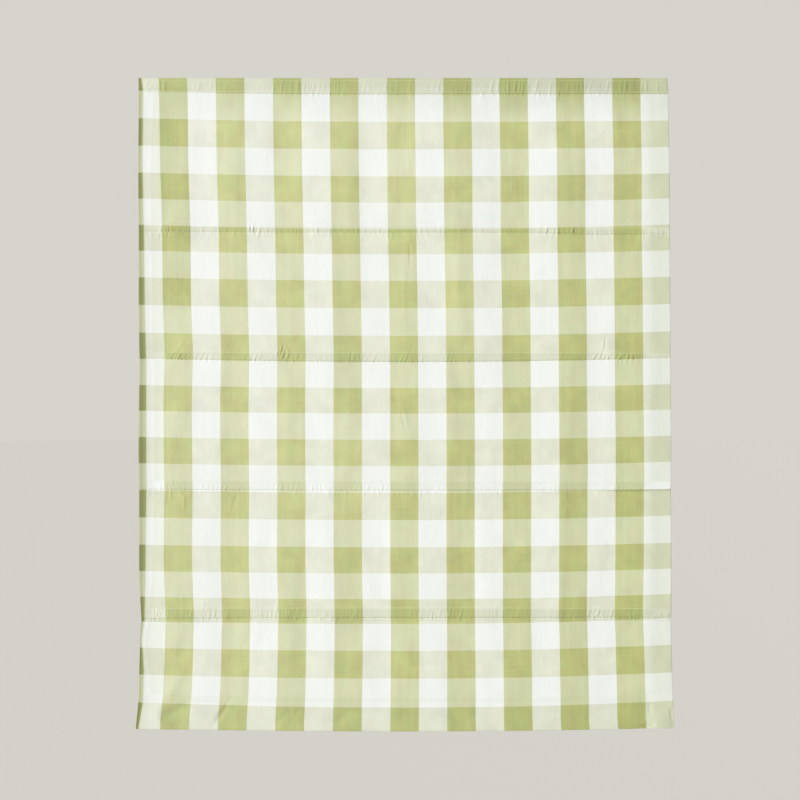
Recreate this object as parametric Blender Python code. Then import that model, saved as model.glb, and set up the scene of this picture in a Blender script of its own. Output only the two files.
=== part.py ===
"""Flat roman blind of woven check cloth, let down to its full length.

Metres, +Z up. The front faces -Y. The origin is the middle of the top edge, so everything hangs below it.
Every sheet starts as a flat slab of cells, which is then bent to the shape in which the cloth hangs.
"""

import math

import bmesh
import bpy

MM = 0.001

# Cloth as cut and sewn: one thickness of cloth, and what its turnings come to.
CLOTH = 1.2 * MM
SIDE_HEM_WIDTH = 38.5 * MM
SIDE_HEM_THICKNESS = 2.4 * MM
HEADING_THICKNESS = 2.6 * MM
BOTTOM_HEM_THICKNESS = 3.0 * MM
HEM_STEP = 1.5 * MM
CHECK_WIDTH = 48.5 * MM

# Lines across the blind, from the top edge down: how far each hangs below the top edge at the middle,
# and how much higher it hangs at the left and at the right edge. All in millimetres.
HANG_LINES = (
    # name, drop at the middle, rise at the left, rise at the right
    ("top edge", 0.0, 0.0, 0.0),
    ("heading stitch", 27.9, 3.1, 0.5),
    ("casing 1", 263.4, 0.5, -2.4),
    ("casing 2", 485.1, 3.9, 5.6),
    ("casing 3", 705.8, 1.7, 0.5),
    ("casing 4", 924.4, 0.2, 1.8),
    ("bottom hem top", 1060.0, 6.0, 5.0),
    ("bottom edge", 1118.3, 4.6, 5.9),
)

# The two side edges, in millimetres from the middle line. The left one has a fold line, where the cloth
# turns back, and a narrow return that shows beyond it.
SIDE_LINES = (
    # drop at the middle, left return, left fold, right edge
    (0.0, -455.7, -452.9, 450.0),
    (28.0, -455.4, -449.8, 451.5),
    (145.0, -455.7, -450.5, 453.1),
    (263.0, -455.5, -448.5, 454.0),
    (485.0, -454.1, -444.7, 455.2),
    (637.0, -455.3, -444.0, 455.7),
    (860.0, -453.9, -445.4, 456.0),
    (925.0, -450.9, -447.5, 456.0),
    (962.0, -452.8, -451.6, 456.5),
    (1020.0, -454.3, -448.3, 457.7),
    (1070.0, -455.2, -449.0, 459.3),
    (1118.3, -459.6, -457.4, 460.5),
)

# The four casings sewn on the back, each between two rows of stitches. The lower row lies on the hang line.
CASINGS = (
    # node, hang line of the lower stitch row, distance up to the upper row, pull of the lower row (mm)
    ("rod_casing_1", "casing 1", 16.0, 2.2),
    ("rod_casing_2", "casing 2", 15.5, 1.8),
    ("rod_casing_3", "casing 3", 14.0, 2.4),
    ("rod_casing_4", "casing 4", 17.0, 2.6),
)
CASING_TURNING = 2.2 * MM
CASING_SIDE_INSET = 3.0 * MM
CASING_GAP = 0.45 * MM
CASING_POCKET = 2.4 * MM
CASING_END_CLOSE = 9.0 * MM

# The five panels of cloth between the sewn lines, and how far each bellies forward.
PANELS = (
    # from, to, belly at the left, at the middle, at the right (mm)
    ("heading stitch", "casing 1", 4.0, 6.0, 4.5),
    ("casing 1", "casing 2", 5.5, 5.0, 3.5),
    ("casing 2", "casing 3", 4.0, 6.5, 5.0),
    ("casing 3", "casing 4", 5.5, 4.0, 5.5),
    ("casing 4", "bottom edge", 2.5, 3.5, 2.0),
)
BELLY_LOW = 1.35

# Soft upright waves of the panels: length of a wave, how far forward it stands, and where it starts.
WAVES = (
    # wave length, height, phase along the width (mm), lean down the drop (mm across for 1 m down)
    (212.0, 0.9, 35.0, 60.0),
    (131.0, 0.6, 80.0, -45.0),
    (67.0, 0.35, 12.0, 30.0),
)

# The bottom corners: the cloth rolls at the left one and curls at the right one.
CORNERS = (
    # distance from the middle line, drop, reach, how far forward it stands (mm)
    (-430.0, 1112.0, 42.0, 4.0),
    (412.0, 1116.0, 16.0, -3.0),
    (440.0, 1112.0, 24.0, 4.5),
)

FOLD_CREST = 1.6 * MM
FOLD_CREST_REACH = 9.0 * MM
FOLD_FOOT = 0.8
FOLD_STEP = 2.3 * MM
RETURN_SLOPE = 1.4 * MM
EDGE_ROLL = 0.7 * MM
EDGE_ROLL_WIDTH = 1.6 * MM

PANEL_ROWS = 3
HEADING_ROWS = (0.0, 5.0, 21.0)

PALE_GREEN = (0.64, 0.68, 0.42, 1.0)
CASING_GREEN = (0.58, 0.63, 0.36, 1.0)


def hang_line(name):
    """Drop at the middle and the two rises of a named line, in metres."""
    for line, drop, rise_left, rise_right in HANG_LINES:
        if line == name:
            return drop * MM, rise_left * MM, rise_right * MM
    raise KeyError(name)


def smooth(t):
    """Ease from 0 to 1."""
    t = min(max(t, 0.0), 1.0)
    return t * t * (3.0 - 2.0 * t)


def along(table, drop, column):
    """Read a column of a table whose first column is a drop in millimetres, between its rows."""
    millimetres = drop / MM
    for upper, lower in zip(table, table[1:]):
        if millimetres <= lower[0]:
            share = (millimetres - upper[0]) / (lower[0] - upper[0])
            return (upper[column] + (lower[column] - upper[column]) * share) * MM
    return table[-1][column] * MM


def sag(drop, across):
    """How much higher a line hangs at a place across the blind than at the middle."""
    lines = [(line[1], line[2], line[3]) for line in HANG_LINES]
    off_middle = 2.0 * across - 1.0
    return along(lines, drop, 1 if off_middle < 0.0 else 2) * off_middle**2


def three_point(left, middle, right, across):
    """A curve through values at the left edge, the middle and the right edge."""
    off_middle = 2.0 * across - 1.0
    return middle + (right - left) / 2.0 * off_middle + ((left + right) / 2.0 - middle) * off_middle**2


def belly(drop, across):
    """How far the panel at this drop stands forward of the plane of the heading."""
    for start, end, left, middle, right in PANELS:
        top = hang_line(start)[0]
        bottom = hang_line(end)[0]
        if top <= drop <= bottom:
            share = (drop - top) / (bottom - top)
            shape = math.sin(math.pi * share**BELLY_LOW)
            if end == "bottom edge":
                shape = math.sin(math.pi * 0.5 * share**0.8)
            return three_point(left, middle, right, across) * MM * shape
    return 0.0


def seam_relief(drop, across):
    """The sewn casings: the cloth is drawn in at the lower stitches and springs out just under them."""
    forward = 0.0
    for _, line, height, pull in CASINGS:
        lower = hang_line(line)[0]
        below = (drop - lower) / MM
        strength = pull * (1.0 + 0.25 * math.sin(9.0 * across + 3.0 * lower / MM))
        if -height <= below <= 0.0:
            share = 1.0 + below / height
            forward += 0.9 * math.sin(math.pi * share) - strength * share**2
        elif 0.0 < below < 12.0:
            forward += -strength * math.exp(-((below / 2.6) ** 2)) + 0.5 * math.exp(-(((below - 4.0) / 2.5) ** 2))
        elif -height - 8.0 < below < -height:
            forward += -0.6 * math.exp(-(((below + height) / 2.5) ** 2))
    return forward * MM


def waves(x, drop):
    """Soft upright waves that die out at the heading and at the bottom edge."""
    heading = hang_line("heading stitch")[0]
    bottom = hang_line("bottom edge")[0]
    hold = smooth((drop - heading) / 0.06) * (0.35 + 0.65 * smooth((bottom - drop) / 0.10))
    forward = 0.0
    for length, height, phase, lean in WAVES:
        turn = (x / MM - phase + lean * drop) / length
        forward += height * math.sin(2.0 * math.pi * turn)
    return forward * MM * hold


def corner_relief(x, drop):
    """The rolled and curled bottom corners."""
    forward = 0.0
    for place, corner_drop, reach, height in CORNERS:
        distance = math.hypot(x / MM - place, drop / MM - corner_drop)
        forward += height * math.exp(-((distance / reach) ** 2))
    return forward * MM


def face_forward(x, drop, across):
    """Distance of the cloth's front surface in front of the heading's."""
    heading = hang_line("heading stitch")[0]
    if drop <= heading - 4.0 * MM:
        return 0.0
    shaped = belly(drop, across) + seam_relief(drop, across) + waves(x, drop) + corner_relief(x, drop)
    pinch = 0.8 * MM * math.exp(-(((drop - heading) / (4.0 * MM)) ** 2))
    return shaped - pinch


def face_thickness(x, drop, fold, right_edge):
    """One thickness of cloth, more at its turnings."""
    thickness = CLOTH
    half_step = HEM_STEP / 2.0
    if min(x - fold, right_edge - x) < SIDE_HEM_WIDTH - half_step:
        thickness = SIDE_HEM_THICKNESS
    if drop > hang_line("bottom hem top")[0] + half_step:
        thickness = BOTTOM_HEM_THICKNESS
    if drop < hang_line("heading stitch")[0] - half_step:
        thickness = HEADING_THICKNESS
    return thickness


def face_point(column, drop, side):
    """A corner of the face cloth: column says where across, side is 0 for the front and 1 for the back."""
    return_edge = along(SIDE_LINES, drop, 1)
    fold = along(SIDE_LINES, drop, 2)
    right_edge = along(SIDE_LINES, drop, 3)
    kind, value = column
    if kind == "return":
        x = return_edge + (fold - return_edge) * value
    elif kind == "from fold":
        x = fold + value
    elif kind == "from right":
        x = right_edge - value
    else:
        x = fold + (right_edge - fold) * value
    across = min(max((x - fold) / (right_edge - fold), 0.0), 1.0)
    forward = face_forward(max(x, fold), drop, across)
    thickness = face_thickness(x, drop, fold, right_edge)
    held = smooth((drop - 0.020) / 0.03)
    if kind == "return":
        # Beyond the fold the cloth drops back behind the face and slopes away.
        forward -= held * (FOLD_STEP + RETURN_SLOPE * (1.0 - value))
        thickness = CLOTH if held > 0.0 else HEADING_THICKNESS
    else:
        forward += held * FOLD_CREST * math.exp(-(((x - fold) / FOLD_CREST_REACH) ** 2))
    at_edge = max(0.0, 1.0 - (right_edge - x) / EDGE_ROLL_WIDTH)
    at_bottom = max(0.0, 1.0 - (hang_line("bottom edge")[0] - drop) / EDGE_ROLL_WIDTH)
    roll = EDGE_ROLL * max(at_edge * held, at_bottom)
    front = -HEADING_THICKNESS / 2.0 - forward + roll
    y = front if side == 0 else front + thickness - 2.0 * roll
    return (x, y, -(drop - sag(drop, across)))


def casing_point(casing, column, drop, side):
    """A corner of a casing strip, a little behind the face cloth and further behind at mid height."""
    _, line, height, _ = casing
    lower = hang_line(line)[0]
    share = min(max((lower - drop) / (height * MM), 0.0), 1.0)
    fold = along(SIDE_LINES, drop, 2)
    right_edge = along(SIDE_LINES, drop, 3)
    left_end = fold + CASING_SIDE_INSET
    right_end = right_edge - CASING_SIDE_INSET
    kind, value = column
    if kind == "from fold":
        x = left_end + value
    elif kind == "from right":
        x = right_end - value
    else:
        x = fold + (right_edge - fold) * value
    face_back = face_point(("from fold", x - fold), drop, 1)
    ends = smooth(min(x - left_end, right_end - x) / CASING_END_CLOSE)
    behind = CASING_GAP + CASING_POCKET * math.sin(math.pi * share) * ends
    return (x, face_back[1] + behind + (CLOTH if side else 0.0), face_back[2])


def face_columns():
    """Places across the face cloth, close together at its folds and half a check apart between them."""
    across = 905.0 * MM
    casing_end = CASING_SIDE_INSET + CASING_END_CLOSE
    columns = [("return", 0.0), ("return", FOLD_FOOT), ("from fold", 0.0)]
    columns += [("from fold", CASING_SIDE_INSET), ("from fold", casing_end)]
    columns += [("from fold", SIDE_HEM_WIDTH - HEM_STEP), ("from fold", SIDE_HEM_WIDTH)]
    steps = round((across - 2.0 * SIDE_HEM_WIDTH) / (CHECK_WIDTH / 2.0))
    first = SIDE_HEM_WIDTH / across
    for step in range(1, steps):
        columns.append(("across", first + (1.0 - 2.0 * first) * step / steps))
    columns += [("from right", SIDE_HEM_WIDTH), ("from right", SIDE_HEM_WIDTH - HEM_STEP)]
    columns += [("from right", casing_end), ("from right", CASING_SIDE_INSET)]
    columns += [("from right", EDGE_ROLL_WIDTH), ("from right", 0.0)]
    return columns


def casing_columns():
    """Places across a casing strip, matching those of the face cloth behind it."""
    inner = [column for column in face_columns() if column[0] == "across"]
    near_ends = (0.0, CASING_END_CLOSE, SIDE_HEM_WIDTH - HEM_STEP - CASING_SIDE_INSET, SIDE_HEM_WIDTH - CASING_SIDE_INSET)
    left = [("from fold", value) for value in near_ends]
    right = [("from right", value) for value in reversed(near_ends)]
    return left + inner + right


def casing_rows(casing):
    """Drops of a casing strip's rows, from its upper edge to its lower edge."""
    _, line, height, _ = casing
    lower = hang_line(line)[0]
    upper = lower - height * MM
    return [upper - CASING_TURNING, upper, upper + 4.0 * MM, lower - 3.5 * MM, lower, lower + CASING_TURNING]


def face_rows():
    """Drops of the face cloth's rows: close together at each sewn line, wide apart in the panels."""
    heading = hang_line("heading stitch")[0]
    hem = hang_line("bottom hem top")[0]
    bottom = hang_line("bottom edge")[0]
    rows = [drop * MM for drop in HEADING_ROWS] + [heading - HEM_STEP, heading, heading + 8.0 * MM]
    for casing in CASINGS:
        sewn = casing_rows(casing)
        start = rows[-1]
        end = sewn[0] - 4.0 * MM
        rows += [start + (end - start) * step / (PANEL_ROWS + 1) for step in range(1, PANEL_ROWS + 1)]
        rows += [end] + sewn + [sewn[-1] + 3.0 * MM, sewn[-1] + 9.0 * MM]
    start = rows[-1]
    rows += [start + (hem - start) * step / PANEL_ROWS for step in range(1, PANEL_ROWS)]
    rows += [hem, hem + HEM_STEP, (hem + bottom) / 2.0, bottom - 12.0 * MM, bottom - EDGE_ROLL_WIDTH, bottom]
    return rows


def cloth_material(name, colour):
    material = bpy.data.materials.new(name)
    material.use_nodes = True
    shader = material.node_tree.nodes["Principled BSDF"]
    shader.inputs["Base Color"].default_value = colour
    shader.inputs["Roughness"].default_value = 0.88
    shader.inputs["Metallic"].default_value = 0.0
    return material


def bent_slab(name, columns, rows, place, material, collection):
    """Raise a flat slab of cells and move each corner to where the hanging cloth has it."""
    bm = bmesh.new()
    bmesh.ops.create_grid(bm, x_segments=len(columns) - 1, y_segments=len(rows) - 1, size=0.5)
    raised = bmesh.ops.extrude_face_region(bm, geom=list(bm.faces))["geom"]
    for item in raised:
        if isinstance(item, bmesh.types.BMVert):
            item.co.z = 1.0
    bmesh.ops.recalc_face_normals(bm, faces=list(bm.faces))
    for vertex in bm.verts:
        column = round((vertex.co.x + 0.5) * (len(columns) - 1))
        row = round((0.5 - vertex.co.y) * (len(rows) - 1))
        vertex.co = place(columns[column], rows[row], round(vertex.co.z))
    # The slab lay flat and the blind hangs upright, which turned its faces round.
    bmesh.ops.reverse_faces(bm, faces=list(bm.faces))
    mesh = bpy.data.meshes.new(name)
    bm.to_mesh(mesh)
    bm.free()
    mesh.shade_smooth()
    mesh.set_sharp_from_angle(angle=math.radians(50.0))
    mesh.materials.append(material)
    sheet = bpy.data.objects.new(name, mesh)
    collection.objects.link(sheet)
    return sheet


for old in list(bpy.data.objects):
    bpy.data.objects.remove(old, do_unlink=True)

blind = bpy.data.collections.new("roman_blind")
bpy.context.scene.collection.children.link(blind)

check_cloth = cloth_material("check_cloth", PALE_GREEN)
casing_cloth = cloth_material("casing_cloth", CASING_GREEN)

bent_slab("face_cloth", face_columns(), face_rows(), face_point, check_cloth, blind)

for casing in CASINGS:

    def casing_place(column, drop, side, casing=casing):
        return casing_point(casing, column, drop, side)

    bent_slab(casing[0], casing_columns(), casing_rows(casing), casing_place, casing_cloth, blind)
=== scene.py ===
import functools
import math

import bpy
import numpy as np
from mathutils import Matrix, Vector


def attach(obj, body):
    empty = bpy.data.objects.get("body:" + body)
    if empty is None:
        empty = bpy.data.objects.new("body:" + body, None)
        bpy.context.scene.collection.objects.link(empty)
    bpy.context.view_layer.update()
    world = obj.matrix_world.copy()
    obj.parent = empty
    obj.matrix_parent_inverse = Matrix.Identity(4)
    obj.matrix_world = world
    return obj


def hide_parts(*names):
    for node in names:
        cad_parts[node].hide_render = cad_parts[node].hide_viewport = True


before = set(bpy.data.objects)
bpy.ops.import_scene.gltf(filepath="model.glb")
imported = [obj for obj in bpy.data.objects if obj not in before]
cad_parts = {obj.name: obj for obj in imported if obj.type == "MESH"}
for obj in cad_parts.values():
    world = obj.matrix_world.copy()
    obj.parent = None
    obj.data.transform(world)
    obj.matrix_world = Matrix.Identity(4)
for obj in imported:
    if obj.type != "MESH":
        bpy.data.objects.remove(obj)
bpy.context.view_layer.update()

# The camera stands level and square in front of the blind, at the photograph's viewing angle. The picture
# is as wide as 1.37 m of the blind's own plane, and its middle is a little left of the blind's.
CAMERA_DISTANCE = 3.0
CAMERA_ACROSS = -0.0080
CAMERA_HEIGHT = -0.5514
PICTURE_WIDTH = 1.37
SENSOR_WIDTH = 36.0


def added(name, data):
    """An object made of the data, in the scene."""
    made = bpy.data.objects.new(name, data)
    bpy.context.scene.collection.objects.link(made)
    return made


camera_data = bpy.data.cameras.new("camera")
camera_data.sensor_width = SENSOR_WIDTH
camera_data.lens = SENSOR_WIDTH * CAMERA_DISTANCE / PICTURE_WIDTH
camera = added("camera", camera_data)
camera.location = (CAMERA_ACROSS, -CAMERA_DISTANCE, CAMERA_HEIGHT)
camera.rotation_euler = (math.radians(90.0), 0.0, 0.0)
bpy.context.scene.camera = camera
bpy.context.scene.view_settings.view_transform = "Standard"

# A pale floor lies well below the hanging blind. A broad soft light comes from the upper left, an even one
# from all round, and a weak one from behind so that the casings on the back can be seen.
FLOOR_HEIGHT = -2.0
FLOOR_REACH = 60.0
FLOOR_SIDES = 96
FLOOR_ROUGHNESS = 0.95
FLOOR_GLOSS = 0.1
LAMPS = (
    # name, the way that it shines, strength, spread (degrees)
    ("key_light", (0.62, 0.70, -0.27), 2.45, 15.0),
    ("back_light", (-0.45, -0.75, -0.50), 1.5, 40.0),
)


def linear(red, green, blue):
    """A colour given as screen values from 0 to 255, as the shader's linear values."""
    channels = []
    for value in (red, green, blue):
        share = value / 255.0
        channels.append(share / 12.92 if share <= 0.04045 else ((share + 0.055) / 1.055) ** 2.4)
    return (*channels, 1.0)


FLOOR_COLOUR = linear(229, 226, 217)
AMBIENT_COLOUR = linear(164, 165, 165)
BACKDROP_COLOUR = linear(214, 212, 204)

bpy.ops.mesh.primitive_circle_add(
    vertices=FLOOR_SIDES, radius=FLOOR_REACH, fill_type="NGON", location=(0.0, 0.0, FLOOR_HEIGHT)
)
floor = bpy.context.object
floor.name = "floor"
floor_paint = bpy.data.materials.new("floor_paint")
floor_paint.use_nodes = True
floor_shader = floor_paint.node_tree.nodes["Principled BSDF"]
floor_shader.inputs["Base Color"].default_value = FLOOR_COLOUR
floor_shader.inputs["Roughness"].default_value = FLOOR_ROUGHNESS
floor_shader.inputs["Specular IOR Level"].default_value = FLOOR_GLOSS
floor.data.materials.append(floor_paint)

for name, towards, strength, spread in LAMPS:
    light = bpy.data.lights.new(name, "SUN")
    light.energy = strength
    light.angle = math.radians(spread)
    added(name, light).rotation_euler = Vector(towards).to_track_quat("-Z", "Y").to_euler()

world = bpy.data.worlds.new("studio")
bpy.context.scene.world = world
world.use_nodes = True
world_nodes = world.node_tree.nodes
world_links = world.node_tree.links
world_nodes.clear()
world_output = world_nodes.new("ShaderNodeOutputWorld")
light_path = world_nodes.new("ShaderNodeLightPath")
seen_or_lit = world_nodes.new("ShaderNodeMixShader")
world_links.new(light_path.outputs["Is Camera Ray"], seen_or_lit.inputs["Fac"])
for number, colour in enumerate((AMBIENT_COLOUR, BACKDROP_COLOUR), start=1):
    background = world_nodes.new("ShaderNodeBackground")
    background.inputs["Color"].default_value = colour
    world_links.new(background.outputs["Background"], seen_or_lit.inputs[number])
world_links.new(seen_or_lit.outputs["Shader"], world_output.inputs["Surface"])

# The face cloth is one width of light polyester and cotton check, woven, washed and pressed. Its sides, top
# and bottom are turned to the back and sewn, and at the left the cloth turns back past a fold. It is made
# as one closed sheet of two layers on the solid's own folds, with the gathers of the sewn lines added.
MM = 0.001
CLOTH = 0.9 * MM
LEFT_HEM = 38.5 * MM
RIGHT_HEM = 30.5 * MM
SIDE_HEM_THICKNESS = 1.9 * MM
HEADING_THICKNESS = 2.6 * MM
BOTTOM_HEM_THICKNESS = 2.5 * MM
HEM_EDGE = 1.0 * MM
HEADING_UPPER_ROW = 4.2 * MM
HEADING_LOWER_ROW = 24.7 * MM
NOMINAL_WIDTH = 905.0 * MM

HANG_LINES = (
    # name, drop at the middle, rise at the left, rise at the right (mm)
    ("top edge", 0, 0, 0),
    ("heading stitch", 27.9, 3.1, 0.5),
    ("casing 1", 264.2, 1.6, -2.4),
    ("casing 2 upper", 470.3, 0.6, -1.6),
    ("casing 2", 485.8, 6.1, 7.7),
    ("casing 3", 706, 1.1, -0.4),
    ("casing 4 upper", 907.1, -1.3, -1.5),
    ("casing 4", 924.1, -1.7, 0.5),
    ("bottom hem top", 1060, 6, 5),
    ("bottom edge", 1118.3, 4.6, 5.9),
)
SLACK = (
    # hang line, across from the middle, reach along it and down it, how much lower it hangs there (mm)
    ("casing 1", 330, 75, 20, 2.6),
)
SIDE_LINES = (
    # drop at the middle, left return, left fold, right edge (mm)
    (0, -455.7, -452.9, 450),
    (28, -455.4, -449.8, 451.5),
    (145, -455.7, -450.5, 453.1),
    (263, -455.5, -448.5, 454),
    (485, -454.1, -444.7, 455.2),
    (637, -455.3, -444, 455.7),
    (860, -453.9, -445.4, 456),
    (925, -450.9, -447.5, 456),
    (962, -452.8, -451.6, 456.5),
    (1020, -454.3, -448.3, 457.7),
    (1070, -455.2, -449, 459.3),
    (1118.3, -459.6, -457.4, 460.5),
)
PANELS = (
    # from, to, belly at the left, at the middle, at the right (mm), half turns, how low the belly lies
    ("heading stitch", "casing 1", 4, 6, 4.5, 1, 1.35),
    ("casing 1", "casing 2", 5.5, 5, 3.5, 1, 1.35),
    ("casing 2", "casing 3", 4, 6.5, 5, 1, 1.35),
    ("casing 3", "casing 4", 5.5, 4, 5.5, 1, 1.35),
    ("casing 4", "bottom edge", 2.5, 3.5, 2, 0.5, 0.8),
)

# The sewn casings draw the cloth in at their lower stitches, and it springs out just under them. The pull
# is a little uneven across the blind, and each seam has a groove of its own depth.
CASINGS = (
    # node, hang line of the lower stitch row, distance up to the upper row, pull of the lower row (mm)
    ("rod_casing_1", "casing 1", 16, 2.2),
    ("rod_casing_2", "casing 2", 15.5, 1.8),
    ("rod_casing_3", "casing 3", 14, 2.8),
    ("rod_casing_4", "casing 4", 17, 2.6),
)
SEAM_SHAPE = (
    # reach above the upper row or below the lower row, or share of the way between them, forward (mm)
    ("above", 6, 0),
    ("above", 2.2, 0.02),
    ("above", 0.2, 0.3),
    ("between", 0.12, 0.22),
    ("between", 0.5, 0.08),
    ("between", 0.88, 0),
    ("below", 0, -0.42),
    ("below", 0.9, -0.36),
    ("below", 2.6, 0.14),
    ("below", 4.2, 0.18),
    ("below", 10, 0),
)
USUAL_PULL = 2.3
PULL_UNEVEN = 0.25
PULL_WAVES = 9.0
PULL_PHASE = 3.0
DENTS = (
    # hang line, how far below it (mm), how deep at the left, at the middle and at the right (mm)
    ("heading stitch", -4.8, 0.9, 0.75, 0.8),
    ("heading stitch", 0.3, 0.4, 1.9, 1.5),
    ("casing 1", 1, 0.8, 0.8, 1.2),
    ("casing 2", 1, 0.4, 2.6, 0.7),
    ("casing 3", 1, 1.6, 2.3, 2.1),
    ("casing 4", 1, 2.2, 2.8, 1.9),
    ("casing 4", 6.2, 1.3, 1.1, 1.1),
)
DENT_REACH = 1.2

# Soft upright waves run down the panels between the heading and the bottom edge. Where the side and bottom
# hems cross, the corners are stiff with layers, and they roll and curl.
WAVES = (
    # wave length, height, phase along the width (mm), lean down the drop (mm across for 1 m down)
    (212, 0.9, 35, 60),
    (131, 0.6, 80, -45),
    (67, 0.35, 12, 30),
)
WAVES_START = 60.0 * MM
WAVES_END = 100.0 * MM
WAVES_AT_BOTTOM = 0.35
CORNERS = (
    # distance from the middle line, drop, reach, how far forward it stands (mm)
    (-430, 1112, 42, 4),
    (412, 1116, 16, -3),
    (440, 1112, 24, 4.5),
)

# The left fold stands forward as a soft crest, and the return lies a step behind it. The turned edges are
# pressed round, so the cloth rolls back and thins there.
FOLD_CREST = 1.6 * MM
FOLD_CREST_REACH = 9.0 * MM
FOLD_STEP = 3.2 * MM
FOLD_NOSE = 0.2
FOLD_BEGINS = 20.0 * MM
FOLD_GROWS = 30.0 * MM
RETURN_LIFT = 1.0 * MM
EDGE_ROLL = 0.7 * MM
EDGE_ROLL_WIDTH = 1.6 * MM
THINNEST_EDGE = 0.1 * MM


def hang_line(name):
    """Drop at the middle of a named line, in metres."""
    return next(drop for line, drop, _, _ in HANG_LINES if line == name) * MM


HEADING = hang_line("heading stitch")
HEM_TOP = hang_line("bottom hem top")
BOTTOM = hang_line("bottom edge")


def ease(share):
    """Ease from 0 to 1."""
    share = np.clip(share, 0.0, 1.0)
    return share * share * (3.0 - 2.0 * share)


def bell(distance, reach):
    """A soft bump, 1 in the middle, that dies out past its reach."""
    return np.exp(-((distance / reach) ** 2))


def read_table(table, drop, column):
    """A column of a table in millimetres whose first column is a drop, read between its rows, in metres."""
    return np.interp(drop / MM, [row[0] for row in table], [row[column] for row in table]) * MM


def sag(drop, across):
    """How much higher a line hangs at a place across the blind than at the middle."""
    lines = [row[1:] for row in HANG_LINES]
    off_middle = 2.0 * across - 1.0
    side = np.where(off_middle < 0.0, read_table(lines, drop, 1), read_table(lines, drop, 2))
    rise = side * off_middle**2
    for line, place, reach, reach_down, lower in SLACK:
        beside = off_middle * NOMINAL_WIDTH / 2.0 / MM - place
        below = (drop - hang_line(line)) / MM
        rise = rise - lower * MM * bell(beside, reach) * bell(below, reach_down)
    return rise


def three_point(left, middle, right, across):
    """A curve through values at the left edge, the middle and the right edge."""
    off_middle = 2.0 * across - 1.0
    return middle + (right - left) / 2.0 * off_middle + ((left + right) / 2.0 - middle) * off_middle**2


def belly(drop, across):
    """How far each panel stands forward of the plane of the heading."""
    forward = np.zeros(np.broadcast(drop, across).shape)
    for start, end, left, middle, right, half_turns, low in PANELS:
        top = hang_line(start)
        bottom = hang_line(end)
        share = np.clip((drop - top) / (bottom - top), 0.0, 1.0)
        shape = three_point(left, middle, right, across) * MM * np.sin(np.pi * half_turns * share**low)
        forward += np.where((drop >= top) & (drop <= bottom), shape, 0.0)
    return forward


def seam_relief(drop, across):
    """How far the cloth stands forward at and near the sewn casings and the heading's stitches."""
    forward = np.zeros(np.broadcast(drop, across).shape)
    for _, line, height, pull in CASINGS:
        lower = hang_line(line) / MM
        upper = lower - height
        places = []
        for where, reach, _ in SEAM_SHAPE:
            if where == "above":
                places.append(upper - reach)
            elif where == "between":
                places.append(upper + reach * height)
            else:
                places.append(lower + reach)
        uneven = PULL_UNEVEN * np.sin(PULL_WAVES * across + PULL_PHASE * lower)
        strength = pull / USUAL_PULL * (1.0 + uneven)
        forward += strength * np.interp(drop / MM, places, [row[2] for row in SEAM_SHAPE])
    for line, below, left, middle, right in DENTS:
        off = drop / MM - hang_line(line) / MM - below
        forward -= three_point(left, middle, right, across) * bell(off, DENT_REACH)
    return forward * MM


def waves(x, drop):
    """The upright waves, which die out at the heading and at the bottom edge."""
    fade = WAVES_AT_BOTTOM + (1.0 - WAVES_AT_BOTTOM) * ease((BOTTOM - drop) / WAVES_END)
    forward = 0.0
    for length, height, phase, lean in WAVES:
        forward = forward + height * np.sin(2.0 * np.pi * (x / MM - phase + lean * drop) / length)
    return forward * MM * ease((drop - HEADING) / WAVES_START) * fade


def corner_relief(x, drop):
    """The rolled and curled bottom corners."""
    forward = 0.0
    for place, corner_drop, reach, height in CORNERS:
        forward = forward + height * bell(np.hypot(x / MM - place, drop / MM - corner_drop), reach)
    return forward * MM


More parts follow.
